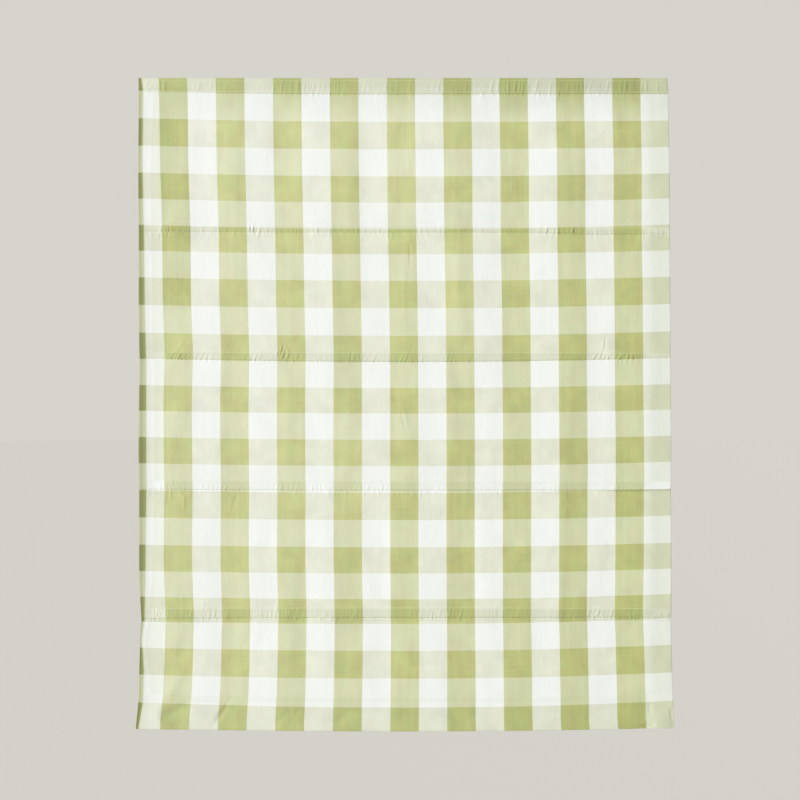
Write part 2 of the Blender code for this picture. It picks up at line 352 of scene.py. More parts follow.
# The main creases that the photograph shows. Down each panel they are broad, and along the sewn lines they
# are the narrow puckers that the stitches pull, each with raised shoulders.
CREASES = (
    # start across, start drop, end across, end drop, half width, forward (mm)
    (-1.7, 277, -1.7, 457, 6, 1.1),
    (8.6, 286, 10, 322, 2.2, -1.5),
    (-7, 573, 1.5, 596, 2.4, -1.4),
    (-2.5, 571, 6.5, 594, 2.4, 1),
    (-24, 531, -9, 571, 4.5, -1),
    (343, 440, 344, 466, 2.2, -1.1),
    (-364, 971, -414, 1017, 10, -2),
    (-367, 1000, -414, 1070, 9, 1.6),
    (-265, 962, -306, 1010, 10, -1.8),
    (-59, 979, -102, 1010, 8, 1.3),
    (197, 791, 170, 822, 8, -1.3),
    (192, 937, 172, 979, 9, -1.5),
    (-285.5, 714, -297, 737, 3.6, -1.3),
    (-378, 712, -377, 745, 3.2, 1),
    (-222, 1105, -190, 1079, 6, -1.6),
    (-120, 1106, -90, 1082, 6, -1.4),
    (-416.3, 1.7, -416.3, 22.3, 1.4, -1.8),
    (-411.1, 3.4, -411.1, 24, 2, 1.1),
    (-163, 4.3, -163, 13.7, 1.4, -1),
    (-158.7, 10.3, -158.7, 20.5, 1.3, -1.1),
    (-134.8, 8.6, -135.8, 20.5, 1.4, -0.8),
    (293.3, 8.6, 292.5, 20.5, 1.4, -0.8),
    (337.9, 3.4, 336.1, 22.3, 1.8, -0.8),
    (349.8, 3.4, 349.2, 20.5, 1.3, -0.8),
    (365.3, 3.4, 363.9, 24, 1.6, -0.8),
    (383.4, 3.4, 382.7, 24, 2.4, -0.4),
    (391.8, 3.4, 390.9, 22.3, 1.4, 0.8),
    (412.3, 1.7, 414.1, 24, 1.6, 1.1),
    (417.7, 1.7, 418.3, 24, 1.3, -0.4),
    (-403.1, 253.4, -401.6, 264.6, 1.4, -1.8),
    (-399.3, 253.4, -398.5, 262, 1.4, 0.8),
    (-391.3, 258.6, -391.3, 265.4, 1.2, -1.1),
    (-387.7, 259.4, -387.5, 266.3, 1.2, -1.1),
    (-383.1, 259.4, -383.1, 266.3, 1.2, -1.1),
    (-398.5, 264.6, -399.2, 274, 1.5, -1.3),
    (-404.6, 264.6, -405.3, 272.3, 1.2, -1),
    (-390.3, 264.6, -390.9, 274, 1.3, -1.3),
    (-384.3, 264.6, -384.8, 274, 1.3, -1.1),
    (-377.6, 264.6, -377.9, 272.3, 1.3, -1),
    (-418.5, 264.6, -418.7, 279.1, 1.2, -1.3),
    (-333.1, 253.4, -333.4, 280.8, 1.4, -1.1),
    (-327.8, 258.6, -327.8, 272.3, 1.3, -1),
    (-261.8, 251.7, -265.9, 267.1, 1.5, -1.6),
    (-259.1, 252.6, -262.9, 267.1, 1.4, 1.3),
    (-256, 252.6, -259.1, 263.7, 1.4, -1),
    (248.5, 258.6, 242, 268.8, 1.7, -1.4),
    (244.5, 254.3, 241.1, 265.4, 2, 1.3),
    (266.6, 256.9, 265.3, 268.8, 1.5, -1.6),
    (285.3, 253.4, 282.2, 263.7, 1.4, -1.4),
    (288.7, 255.1, 285.3, 265.4, 1.4, 1.4),
    (291.3, 259.4, 287.3, 268, 1.4, -1.3),
    (-372.8, 449.5, -395.9, 471.8, 2, 1.1),
    (-384.9, 468.3, -392, 482.9, 1.3, -1.6),
    (-383.4, 470.9, -389.6, 482, 1.2, 1.4),
    (-381, 470.9, -387.3, 482, 1.3, -1.4),
    (-379.5, 472.6, -384.1, 481.2, 1.2, 0.8),
    (-206.3, 455.5, -211, 470.1, 1.5, -2.2),
    (-209.3, 458.9, -213.4, 472.6, 1.4, 1.4),
    (-213.5, 465.8, -217.8, 477.8, 1.4, -2.6),
    (-210.1, 465.8, -213.5, 477.8, 1.2, -1.3),
    (-205.3, 465.8, -211.3, 481.2, 1.5, 1.6),
    (-202.1, 457.2, -204.3, 466.6, 1.5, 1),
    (-199.5, 460.6, -201.5, 480.3, 1.6, 1),
    (-195.4, 471.8, -198.1, 482.9, 1.6, -1),
    (-183.1, 470.9, -186.5, 482, 1.7, 1),
    (-90.8, 468.3, -93.2, 486.3, 1.5, -1.3),
    (-86.5, 470.1, -87.5, 483.8, 1.6, 0.6),
    (-76.2, 468.3, -76.5, 486.3, 1.6, -1.1),
    (379.5, 470.9, 375.7, 482, 1.5, -1.6),
    (382.9, 470.9, 379.5, 480.3, 1.4, 1.1),
    (387, 470.9, 383.2, 482.9, 1.5, -1.4),
    (390.1, 473.5, 387.5, 482.9, 1.4, 0.8),
    (394.5, 471.8, 392.7, 482.9, 1.5, -1),
    (368, 482, 367.3, 490.6, 1.6, -1.1),
    (374.8, 482, 373.8, 491.5, 1.6, -1.3),
    (383.4, 482, 383.1, 490.6, 1.6, -1.1),
    (391.8, 482.9, 391.6, 490.6, 1.7, -0.8),
    (332.5, 472.6, 330.2, 482, 1.5, -1.1),
    (339.1, 468.3, 337.9, 480.3, 1.5, -1.3),
    (343.5, 451.2, 341.3, 468.3, 1.6, -1.1),
    (350.9, 475.2, 349.8, 484.6, 1.6, -1),
    (-392.8, 690.1, -393.3, 699.5, 1.5, -1.3),
    (-404.6, 694.4, -405, 703.8, 1.3, -1),
    (-402.6, 707.2, -404.5, 718.4, 1.5, -1.3),
    (-377.6, 707.2, -378.8, 717.5, 1.4, -1),
    (-220, 692.7, -224.8, 705.5, 1.6, -1.1),
    (-209.8, 694.4, -213.5, 704.7, 1.3, 0.8),
    (-195.4, 694.4, -198.1, 705.5, 1.4, -1),
    (-185.8, 692.7, -189.6, 704.7, 1.3, -0.8),
    (-148.1, 694.4, -151.9, 705.5, 1.4, -0.8),
    (-139.6, 692.7, -143.3, 704.7, 1.4, -0.8),
    (-429, 906.7, -424.5, 914.1, 1.2, -1.3),
    (-424.5, 913.1, -429, 919.2, 1.2, -1.3),
    (-423.5, 907.6, -419.7, 914.1, 1.2, 1.1),
    (-419.7, 913.1, -423.5, 919.6, 1.2, -1.1),
    (-342, 895.6, -338.2, 905, 1.5, -1),
    (-339.9, 902.4, -343, 912.7, 1.4, -0.8),
    (-338.5, 911.9, -338.5, 925.6, 1.4, -1),
    (-330, 914.4, -329.1, 926.4, 1.4, -0.8),
    (-297.4, 910.1, -297.4, 922.1, 1.3, -1),
    (-238.2, 911.9, -240.2, 922.1, 1.4, -1),
    (-231.2, 910.1, -234.1, 922.1, 1.4, -1),
    (-218.7, 903.3, -219.5, 915.3, 1.5, 1),
    (-205, 908.4, -205.8, 920.4, 1.4, -1),
    (-196.1, 908.4, -198.1, 922.1, 1.5, 1),
    (-185.8, 906.7, -187.9, 920.4, 1.4, -1),
    (321.1, 910.1, 317.3, 918.7, 1.4, -1.3),
    (329.8, 908.4, 323.8, 920.4, 1.4, -1.6),
    (333.1, 909.3, 329.3, 918.7, 1.3, 1),
    (337.3, 911.9, 333.2, 922.1, 1.4, -1.6),
    (345, 910.1, 341.8, 918.7, 1.4, -1.1),
    (-420, 1101, -364, 1066, 9.5, -3.4),
    (-402, 1109.5, -374, 1101, 4, -1.3),
    (-396, 1070.2, -362, 1071.8, 1.6, -3.4),
    (-378, 1076.6, -362, 1076, 1.5, -2.6),
    (-324, 1102, -299, 1069, 4.2, -2.2),
    (-303, 1073.6, -270, 1076, 1.6, -3.2),
    (-295, 1079.4, -272, 1080.2, 1.6, -2.4),
    (-332, 1110, -309, 1088, 4, -1),
    (-198, 1101, -176, 1077, 5, -1.1),
    (417.8, 1069.5, 419.4, 1085, 2.2, -1.1),
    (428.6, 1069, 424.5, 1083, 3.2, 0.7),
    (455.4, 1077, 457, 1102, 2.7, -1.9),
    (457.5, 1098, 458.4, 1113, 1.5, -1.1),
    (420, 1110, 427, 1099, 2.4, -1.1),
    (429, 1113, 433, 1101, 3.2, 0.6),
    (405, 1107.4, 420, 1111.4, 2.4, -3.2),
    (402, 1101.5, 415, 1104.5, 2.7, 1.6),
)
NARROW = 2.6
SHOULDER = 0.5
SHOULDER_REACH = 2.4


def crease_relief(x, drop, narrow):
    """The main creases, wide or narrow ones, each a soft trough or ridge that runs out at both its ends.

    A narrow trough has raised shoulders, because the cloth that it takes up comes from beside it.
    """
    forward = np.zeros(x.shape)
    for start_x, start_drop, end_x, end_drop, half_width, height in CREASES:
        if (half_width < NARROW) != narrow:
            continue
        run = (end_x - start_x, end_drop - start_drop)
        length = math.hypot(*run)
        beside = x / MM - start_x
        down = drop / MM - start_drop
        along = (beside * run[0] + down * run[1]) / length**2
        off = (beside * run[1] - down * run[0]) / length
        ends = ease(1.0 - np.abs(2.0 * along - 1.0) ** 3) * (np.abs(along - 0.5) < 0.5)
        shape = bell(off, half_width)
        if narrow and height < 0.0:
            shape -= SHOULDER * bell(off, half_width * SHOULDER_REACH)
        forward += height * shape * ends
    return forward * MM


# The gathers that the sewing draws up are soft ridges side by side, uneven in height, width and lean, and
# stronger where the photograph shows more of them.
GATHERS = (
    # line, up to its row (mm), pitch, height, half width, lean, reach up, reach down (mm), seed
    ("heading stitch", -12, 8.5, 0.62, 1.7, -0.15, 11, 11, 3),
    ("heading stitch", 0, 6.5, 0.45, 1.4, 0.05, 4, 5, 5),
    ("casing 1", -2.5, 5.6, 0.6, 1.4, 0, 4.5, 5, 11),
    ("casing 1", 3, 9.5, 0.34, 1.7, 0, 4, 9, 13),
    ("casing 2", -6, 8, 0.46, 1.5, -0.4, 7, 6, 21),
    ("casing 2", -1, 5.6, 0.39, 1.3, 0, 3, 4, 23),
    ("casing 3", -3, 7.2, 0.41, 1.4, -0.2, 5, 4, 31),
    ("casing 3", 2, 8, 0.37, 1.5, 0.05, 3, 10, 33),
    ("casing 4", -6, 6.2, 0.44, 1.4, -0.12, 8, 6, 41),
    ("casing 4", 1, 5.2, 0.5, 1.3, 0, 3, 3.5, 43),
)
GATHER_STRETCHES = {
    # from, to across the blind (mm), how much stronger or weaker the gathers of a line are there
    "heading stitch": (
        (-195, -110, 1.7),
        (130, 270, 1.6),
        (330, 420, 1.15),
        (424, 452, 0.55),
        (-420, -230, 0.6),
    ),
    "casing 1": (
        (-421, -392, 1.8),
        (-352, -335, 1.5),
        (-268, -234, 2.3),
        (-169, -145, 1.6),
        (-23, 8, 1.8),
        (60, 215, 0.7),
        (252, 290, 2.3),
    ),
    "casing 2": (
        (-402, -370, 2),
        (-352, -330, 1.6),
        (-280, -250, 1.7),
        (-224, -186, 2.3),
        (-160, -138, 1.6),
        (-106, -88, 1.5),
        (-32, 12, 1.8),
        (120, 250, 0.5),
        (256, 298, 1.7),
        (324, 396, 2.4),
    ),
    "casing 3": (
        (-421, -400, 1.9),
        (-316, -290, 1.6),
        (-160, -138, 1.6),
        (-53, -22, 1.6),
        (145, 162, 1.6),
        (396, 450, 0.6),
    ),
    "casing 4": (
        (-438, -420, 1.8),
        (-354, -314, 1.6),
        (-218, -186, 1.8),
        (-146, -128, 1.6),
        (-120, -70, 1.6),
        (24, 104, 1.9),
        (155, 168, 1.8),
        (304, 402, 2.1),
    ),
}
GATHERS_FROM = -446.0
GATHERS_TO = 452.0
GATHER_SPACING = (0.6, 1.4)
GATHER_WIDTHS = (0.85, 1.35)
GATHER_LOWEST = 0.2
GATHER_TALLEST = 1.8
GATHER_LEAN = 0.14
GATHER_ENDS = 2.6
GATHER_SIDES = 3.0
LEAN_ROOM = 12.0


def gather_relief(x, drop):
    """The gathers at every sewn line, each worked out only where it reaches."""
    forward = np.zeros(x.shape)
    middle_x = x[x.shape[0] // 2] / MM
    drops = drop[:, 0] / MM
    for line, up, pitch, height, width, lean, reach_up, reach_down, seed in GATHERS:
        chance = np.random.default_rng(seed)
        off_row = drops - (hang_line(line) / MM + up)
        rows = np.flatnonzero((off_row > -GATHER_ENDS * reach_up) & (off_row < GATHER_ENDS * reach_down))
        below = off_row[rows][:, None]
        fade = bell(below, np.where(below < 0.0, reach_up, reach_down))
        place = GATHERS_FROM
        while place < GATHERS_TO:
            place += pitch * chance.uniform(*GATHER_SPACING)
            half_width = width * chance.uniform(*GATHER_WIDTHS)
            tall = height * (GATHER_LOWEST + GATHER_TALLEST * chance.uniform(0.0, 1.0) ** 2)
            slant = lean + chance.uniform(-GATHER_LEAN, GATHER_LEAN)
            for start, end, stronger in GATHER_STRETCHES[line]:
                if start < place < end:
                    tall *= stronger
            near = np.abs(middle_x - place) < GATHER_SIDES * half_width + LEAN_ROOM
            window = np.ix_(rows, np.flatnonzero(near))
            off = x[window] / MM - place - slant * below
            forward[window] += tall * bell(off, half_width) * fade
    return forward * MM


# Long soft upright folds are left from when the cloth was raised in pleats and pressed. The bottom hem dips
# at its inner edge and is slack below it, in uneven ripples.
UPRIGHT_FOLDS = (
    # across at the top, across at the bottom, from, to (drop), half width, forward (mm)
    (-395, -398, 30, 250, 14, -1.17),
    (-292, -288, 60, 470, 16, 1.43),
    (-205, -210, 30, 180, 17, -1.17),
    (-88, -84, 40, 470, 15, 1.56),
    (-122, -118, 90, 300, 10, -1.04),
    (-22, -20, 60, 260, 13, 1.3),
    (92, 96, 280, 480, 16, 1.56),
    (160, 158, 30, 470, 14, -1.17),
    (262, 258, 40, 260, 15, 1.04),
    (380, 384, 60, 240, 18, -1.17),
    (-372, -376, 290, 440, 11, -1.17),
    (-398, -398, 510, 700, 12, 1.17),
    (-196, -198, 500, 700, 12, 1.17),
    (-95, -98, 500, 690, 14, 1.56),
    (-20, -14, 500, 700, 12, -1.17),
    (80, 84, 500, 700, 13, 1.17),
    (182, 176, 500, 700, 14, 1.3),
    (-25, -18, 720, 920, 11, 1.17),
    (10, 14, 720, 920, 12, -1.04),
    (108, 118, 720, 920, 14, -1.3),
    (290, 286, 720, 920, 14, -1.04),
    (-60, -66, 940, 1050, 13, 1.04),
    (210, 204, 950, 1050, 14, 1.17),
)
UPRIGHT_ENDS = 5.0
HEM_RIPPLES = ((0.35, 15.5, 0.0), (0.2, 6.7, 1.0))
HEM_BANDS = (
    # how far below the hem's inner edge, half width, forward (mm), ripples: share, length (mm), phase
    (0.0, 6.0, -0.9, HEM_RIPPLES),
    (12.0, 8.0, 0.5, HEM_RIPPLES),
    (30.0, 7.0, -0.6, ((0.8, 13.0, 0.8),)),
)


def upright_relief(x, drop):
    """The long upright folds."""
    forward = np.zeros(x.shape)
    for top_x, bottom_x, top, bottom, half_width, height in UPRIGHT_FOLDS:
        share = (drop / MM - top) / (bottom - top)
        place = top_x + (bottom_x - top_x) * share
        hold = ease(share * UPRIGHT_ENDS) * ease((1.0 - share) * UPRIGHT_ENDS)
        forward += height * bell(x / MM - place, half_width) * hold
    return forward * MM


def hem_relief(x, drop):
    """The dip, the ridge and the slack of the bottom hem."""
    forward = 0.0
    for below, half_width, height, ripples in HEM_BANDS:
        uneven = 1.0
        for share, length, phase in ripples:
            uneven = uneven + share * np.sin(x / MM / length + phase)
        forward = forward + height * bell((drop - HEM_TOP) / MM - below, half_width) * uneven
    return forward * MM


# All the reliefs together make the front. The back follows it at the cloth's thickness, with more at the
# turnings, and has no gathers of its own.
FREE_ABOVE = 2.0 * MM
FREE_WITHIN = 16.0 * MM
STITCH_PINCHES = (
    # drop, how deep, reach (m)
    (HEADING, 0.35 * MM, 2.5 * MM),
    (HEADING_UPPER_ROW, 0.35 * MM, 1.6 * MM),
)
DEEPEST_GATHER = 1.0 * MM
DEEPEST_IN_HEM = 2.6 * MM


def face_forward(x, drop, across, gathered=True):
    """Distance of the cloth's front surface in front of the heading's."""
    forward = belly(drop, across) + waves(x, drop) + corner_relief(x, drop) + upright_relief(x, drop)
    forward = forward * ease((drop - HEADING + FREE_ABOVE) / FREE_WITHIN)
    forward = forward + seam_relief(drop, across) + hem_relief(x, drop)
    for row_drop, deep, reach in STITCH_PINCHES:
        forward = forward - deep * bell(drop - row_drop, reach)
    depth = drop - sag(drop, across)
    forward = forward + crease_relief(x, depth, narrow=False)
    if gathered:
        fine_relief = gather_relief(x, drop) + crease_relief(x, depth, narrow=True)
        deepest = np.where(drop > HEM_TOP, DEEPEST_IN_HEM, DEEPEST_GATHER)
        forward = forward + np.maximum(fine_relief, -deepest)
    return forward


def back_thickness(drop, from_fold, from_right):
    """One thickness of cloth, more at its turnings."""
    thickness = np.full(np.broadcast(drop, from_fold).shape, CLOTH)
    for inside, thick in (
        (np.maximum(LEFT_HEM - from_fold, RIGHT_HEM - from_right), SIDE_HEM_THICKNESS),
        (drop - HEM_TOP, BOTTOM_HEM_THICKNESS),
        (HEADING - drop, HEADING_THICKNESS),
    ):
        thickness = thickness + (thick - thickness) * ease(inside / HEM_EDGE)
    return thickness


def face_surface(drop, place, side, gathered=True):
    """Points of the face cloth. place is 0 at the fold, 1 at the right edge and -1 at the return's edge."""
    return_edge, fold, right_edge = (read_table(SIDE_LINES, drop, column) for column in (1, 2, 3))
    beyond = np.clip(-place, 0.0, 1.0)
    across = np.clip(place, 0.0, 1.0)
    x = fold + (right_edge - fold) * across - (fold - return_edge) * beyond
    folded = ease((drop - FOLD_BEGINS) / FOLD_GROWS)
    step = FOLD_STEP * ease(beyond / FOLD_NOSE) - RETURN_LIFT * beyond
    crest = np.where(beyond > 0.0, FOLD_CREST - step, FOLD_CREST * bell(x - fold, FOLD_CREST_REACH))
    forward = face_forward(np.maximum(x, fold), drop, across, gathered) + folded * crest
    from_edge = np.minimum(np.minimum(right_edge - x, BOTTOM - drop), drop)
    roll = EDGE_ROLL * np.clip(1.0 - from_edge / EDGE_ROLL_WIDTH, 0.0, 1.0) ** 2
    y = -HEADING_THICKNESS / 2.0 - forward + roll
    if side == "back":
        thickness = back_thickness(drop, x - fold, right_edge - x)
        at_return = CLOTH + (HEADING_THICKNESS - CLOTH) * (1.0 - folded)
        thickness = np.where(beyond > 0.0, at_return, thickness)
        y = y + thickness - 2.0 * np.minimum(roll, thickness / 2.0 - THINNEST_EDGE)
    z = sag(drop, across) - drop
    return np.stack(np.broadcast_arrays(x, y, z), axis=-1)


# The mesh has close rows at the sewn lines and creases, and wide ones between. Its wide cells are parted
# into narrow columns only where the cloth bends within them.
ROW_FINEST = 0.9
ROW_GROWTH = 1.42
ROW_WIDEST = 12.5
HEM_ROW_WIDEST = 4.4
UNDER_SEAM = 5.6
TOP_STEPS = (0.0, 0.3, 1.0)
EDGE_STEPS = (1.6, 0.8, 0.3, 0.0)
CREASE_ROWS = (563.0, 569.0, 575.0, 581.0, 587.0, 593.0)
COLUMN_PITCH = 7.0
RETURN_COLUMNS = (-1.0, -0.75, -0.45, -0.2, -0.12, -0.05, 0.0)
FOLD_COLUMNS = (0.7, 1.6, 3.0, 5.0, 8.0, 12.0)
RIGHT_COLUMNS = (23.6, 17.7, 11.8, 6.0, 3.2, *EDGE_STEPS)
FINE_COLUMNS = 6
WIDE_CELL = 0.8
NEEDS_FINE = 0.155 * MM


def graded(start, end, widest=ROW_WIDEST):
    """Places from start to end in millimetres, close together at both ends and wider apart between them."""
    half = (end - start) / 2.0
    places = [0.0]
    step = ROW_FINEST
    while places[-1] < half:
        places.append(places[-1] + step)
        step = min(step * ROW_GROWTH, widest)
    near = [place * half / places[-1] for place in places]
    return [start + place for place in near] + [end - place for place in reversed(near[:-1])]


def face_rows():
    """Drops of the rows of the mesh, in metres."""
    sewn = [TOP_STEPS[-1], HEADING_UPPER_ROW / MM, HEADING_LOWER_ROW / MM, HEADING / MM]
    for _, line, height, _ in CASINGS:
        lower = hang_line(line) / MM
        sewn += [lower - height, lower, lower + UNDER_SEAM]
    sewn.append(HEM_TOP / MM)
    rows = list(TOP_STEPS[:-1])
    for start, end in zip(sewn, sewn[1:]):
        rows += graded(start, end)[:-1]
    rows += graded(HEM_TOP / MM, BOTTOM / MM - EDGE_STEPS[0], HEM_ROW_WIDEST)
    rows += [BOTTOM / MM - step for step in EDGE_STEPS[1:]]
    rows = [row for row in rows if all(abs(row - extra) > ROW_FINEST for extra in CREASE_ROWS)]
    return np.array(sorted(rows + list(CREASE_ROWS))) * MM


def evenly(start, end, pitch):
    """Places after start up to end, in millimetres, about a pitch apart."""
    steps = round((end - start) / pitch)
    return [start + (end - start) * step / steps for step in range(1, steps + 1)]


def face_columns():
    """Places across, as face_surface takes them, and which of them bound the wide cells."""
    width = NOMINAL_WIDTH / MM
    hem = LEFT_HEM / MM
    inner_edge = width - RIGHT_HEM / MM
    from_fold = [*FOLD_COLUMNS, *evenly(FOLD_COLUMNS[-1], hem - 1.0, COLUMN_PITCH), hem]
    from_fold += [*evenly(hem, inner_edge, COLUMN_PITCH), inner_edge + 1.0]
    from_fold += [width - distance for distance in RIGHT_COLUMNS]
    wide = [*RETURN_COLUMNS, *(distance / width for distance in from_fold)]
    places = [wide[0]]
    bounds = [0]
    for start, end in zip(wide, wide[1:]):
        parts = FINE_COLUMNS if (end - start) * width > WIDE_CELL * COLUMN_PITCH and start >= 0.0 else 1
        places += [start + (end - start) * part / parts for part in range(1, parts + 1)]
        bounds.append(len(places) - 1)
    return np.array(places), bounds


def bent_cells(front, places, bounds):
    """Which wide cells of the front bend within their own width, so that they are parted."""
    bend = np.zeros((front.shape[0], len(bounds) - 1))
    for cell, (start, end) in enumerate(zip(bounds, bounds[1:])):
        if end - start > 1:
            share = (places[start : end + 1] - places[start]) / (places[end] - places[start])
            straight = front[:, start, None, 1] * (1.0 - share) + front[:, end, None, 1] * share
            bend[:, cell] = np.abs(front[:, start : end + 1, 1] - straight).max(axis=1)
    bent = bend > NEEDS_FINE
    return bent[:-1] | bent[1:]


# Its lines follow the cloth's own sag and lean, so each point of the sheet carries its place in the cloth
# as it was woven.
CHECK_WIDTH = 48.1 * MM
CHECK_HEIGHT = 45.6 * MM
CHECK_COLUMNS = (
    # drop, then where the first, the ninth and the last column line cross it (mm across)
    (0, -421.3, -30.1, 403.1),
    (51, -419.9, -30.7, 403.8),
    (146, -418.3, -29.8, 405.5),
    (236, -415.4, -28.9, 405.5),
    (372, -413.5, -26.4, 407),
    (464, -410.4, -25.2, 407.9),
    (553, -412.3, -24.8, 408.1),
    (687, -411.3, -24.8, 409.6),
    (825, -411.7, -24.7, 408.4),
    (914, -408.9, -23.5, 407.5),
    (957, -409.9, -23.3, 409.1),
    (1004, -410.8, -23.6, 410.3),
    (1051, -412.9, -24, 411.7),
    (1096, -417.5, -24.3, 412.3),
    (1118.3, -418.2, -24.5, 414.2),
)
COLUMN_LINES = (0, 8, 17)
CHECK_ROWS = (
    # row line, drop at the middle, rise at the left, rise at the right (mm)
    (0, 29.4, 7.8, 2),
    (1, 75.7, 6.6, 2.6),
    (2, 122.8, 6.7, 4),
    (3, 169.4, 6.7, 5.4),
    (4, 213.9, 7, 7.4),
    (5, 258.9, 7.4, 7.8),
    (6, 301.9, 6.3, 6.9),
    (7, 347.6, 6, 7.1),
    (8, 394.5, 5.7, 7.4),
    (9, 441.8, 5.4, 7.7),
    (10, 486.2, 5.4, 6.5),
    (11, 531, 5.1, 6.7),
    (12, 574.5, 4.8, 6.9),
    (13, 619.4, 4.6, 7.1),
    (14, 664.2, 4.6, 7.4),
    (15, 710.6, 4.6, 7.7),
    (16, 756.7, 4.5, 7.8),
    (17, 803.3, 4.4, 7.9),
    (18, 848, 4.4, 8.6),
    (19, 892.3, 4.4, 9.4),
    (20, 934.8, 4.3, 10),
    (21, 980.5, 5.5, 10.3),
    (22, 1027.8, 6.8, 10.6),
    (23, 1077.4, 8.9, 11.7),
    (24, 1122.5, 9, 11.9),
)


def weave_place(points, across):
    """Where each point lies in the woven check: metres along the weft and along the warp."""
    x = points[..., 0]
    depth = -points[..., 2]
    first, ninth, last = (read_table(CHECK_COLUMNS, depth, column) for column in (1, 2, 3))
    low, middle, high = COLUMN_LINES
    pitch = np.where(x < ninth, (ninth - first) / (middle - low), (last - ninth) / (high - middle))
    column = middle + (x - ninth) / pitch
    off_middle = 2.0 * across[0] - 1.0
    row = np.empty(depth.shape)
    for index, off in enumerate(off_middle):
        lines = [drop - (left if off < 0.0 else right) * off**2 for _, drop, left, right in CHECK_ROWS]
        above = 2.0 * lines[0] - lines[1]
        row[:, index] = np.interp(depth[:, index] / MM, [above] + lines, range(-1, len(lines)))
    return np.stack([column * CHECK_WIDTH, row * CHECK_HEIGHT], axis=-1)


THINNEST = 0.35 * MM
BACK_FREE = (0.02, 0.985)
ROUNDING = 1e-6

rows = face_rows()
places, bounds = face_columns()
drop = rows[:, None]
place = places[None, :]
front = face_surface(drop, place, "front")
front_weave = weave_place(front, np.clip(place, 0.0, 1.0))

# The back has every other column between the side hems. It is moved behind the front's deepest gather.
hem_ends = LEFT_HEM / NOMINAL_WIDTH + ROUNDING, 1.0 - RIGHT_HEM / NOMINAL_WIDTH - ROUNDING
back_bounds = [
    bound for number, bound in enumerate(bounds)
    if number % 2 or not hem_ends[0] < places[bound] < hem_ends[1]
]
back_places = places[back_bounds]
back = face_surface(drop, back_places[None, :], "back", gathered=False)
back_weave = weave_place(back, np.clip(back_places[None, :], 0.0, 1.0))
for number in np.flatnonzero((back_places > BACK_FREE[0]) & (back_places < BACK_FREE[1])):
    beside = front[:, back_bounds[number - 1] : back_bounds[number + 1] + 1, 1]
    back[:, number, 1] = np.maximum(back[:, number, 1], beside.max(axis=1) + THINNEST)

# Where the cloth is doubled, the layer behind it deepens the check: its own turnings and the casing strips
# under the front, and several layers at the return. At the return, and fading onto the front beside the
# fold, the amount is set high enough that it also paints shade. Each point carries the place of what lies
# behind it.
FOLD_COLUMN = int(np.flatnonzero(places == 0.0)[0])
RETURN_COLUMN = -1.5
RETURN_BEHIND = -1.0
# The return's amount is raised past what its layers give, so that it is painted dark with shade.
RETURN_SHOWS_AND_SHADE = 3.3
RETURN_FADES = 4.8 * MM
LEFT_HEM_SHOWS = 0.68
RIGHT_HEM_SHOWS = (
    # how far in from the right edge (mm), how much the turning shows; past the hem's own 30.5 mm the same
    # mix carries on and fades out
    (28, 1.06),
    (33, 0.82),
    (38, 0.45),
    (46, 0.3),
    (51, 0),
)
BOTTOM_HEM_SHOWS = 0.72
HEADING_SHOWS_AND_SHADE = (
    # share of the way across from the fold, how much the turning shows, set high enough to also paint shade
    # into the heading, deepest near the right end
    (0, 1.12),
    (0.945, 1.71),
    (0.955, 1.42),
    (1, 1.42),
)
STRIP_SEEN_BELOW = 1.4 * MM
STRIP_SEEN = (
    # for each casing: how far up from its lower row it shows (mm), its row in the check, how much it shows
    # at the left and at the right
    (10.5, 1.35, 1.05, 1.2),
    (14, 1.45, 0.75, 0.95),
    (15, 0.4, 1.3, 1.9),
    (15.5, 1.3, 0.76, 1.24),
)


def carried(cloth, under, shows_and_shade):
    """What a patch's points carry: place in the check, place of the layer behind, and how much it shows,
    which also paints shade where it is large.
    """
    return cloth.tolist(), under.tolist(), np.broadcast_to(shows_and_shade, cloth.shape[:2]).tolist()


def laid(weave, part, value):
    """The same places in the check with one part of them, across or down, given anew."""
    result = weave.copy()
    result[..., part] = value
    return result


def mirrored(weave, line, part):
    """Where a turning lies in the check: mirrored, across or down, about the line where the cloth turns."""
    return laid(weave, part, 2.0 * line[..., part] - weave[..., part])


def seen_from_front(weave):
    """The front's patch: behind it lie its own turnings and the casing strips."""
    share = np.broadcast_to(place, weave.shape[:2])
    down = np.broadcast_to(drop, weave.shape[:2])
    from_fold = share * NOMINAL_WIDTH
    at_right = np.interp((NOMINAL_WIDTH - from_fold) / MM, *zip(*RIGHT_HEM_SHOWS))
    layers = [
        (from_fold < LEFT_HEM, mirrored(weave, weave[:, FOLD_COLUMN, None], 0), LEFT_HEM_SHOWS),
        (down > HEM_TOP, mirrored(weave, weave[-1:], 1), BOTTOM_HEM_SHOWS),
        (down < HEADING, mirrored(weave, weave[:1], 1), np.interp(share, *zip(*HEADING_SHOWS_AND_SHADE))),
        (at_right > 0.0, mirrored(weave, weave[:, -1, None], 0), at_right),
    ]
    for (_, line, _, _), (seen, strip_row, *strength) in zip(CASINGS, STRIP_SEEN):
        lower = hang_line(line)
        covered = (down >= lower - seen * MM) & (down <= lower + STRIP_SEEN_BELOW)
        strip = laid(weave, 1, strip_row * CHECK_HEIGHT + down - lower)
        layers.append((covered, strip, np.interp(share, (0.0, 1.0), strength)))
    under = weave
    shows_and_shade = np.zeros(weave.shape[:2])
    for covered, layer, strength in layers:
        under = np.where(covered[..., None], layer, under)
        shows_and_shade = np.where(covered, np.maximum(shows_and_shade, strength), shows_and_shade)
    # Beside the fold the front fades into the return's green column and into its painted shade.
    green = laid(weave, 0, RETURN_COLUMN * CHECK_WIDTH)
    under = np.where((from_fold < RETURN_FADES)[..., None], green, under)
    fading = RETURN_SHOWS_AND_SHADE * (1.0 - ease(from_fold / RETURN_FADES))
    return carried(weave, under, np.maximum(shows_and_shade, fading))


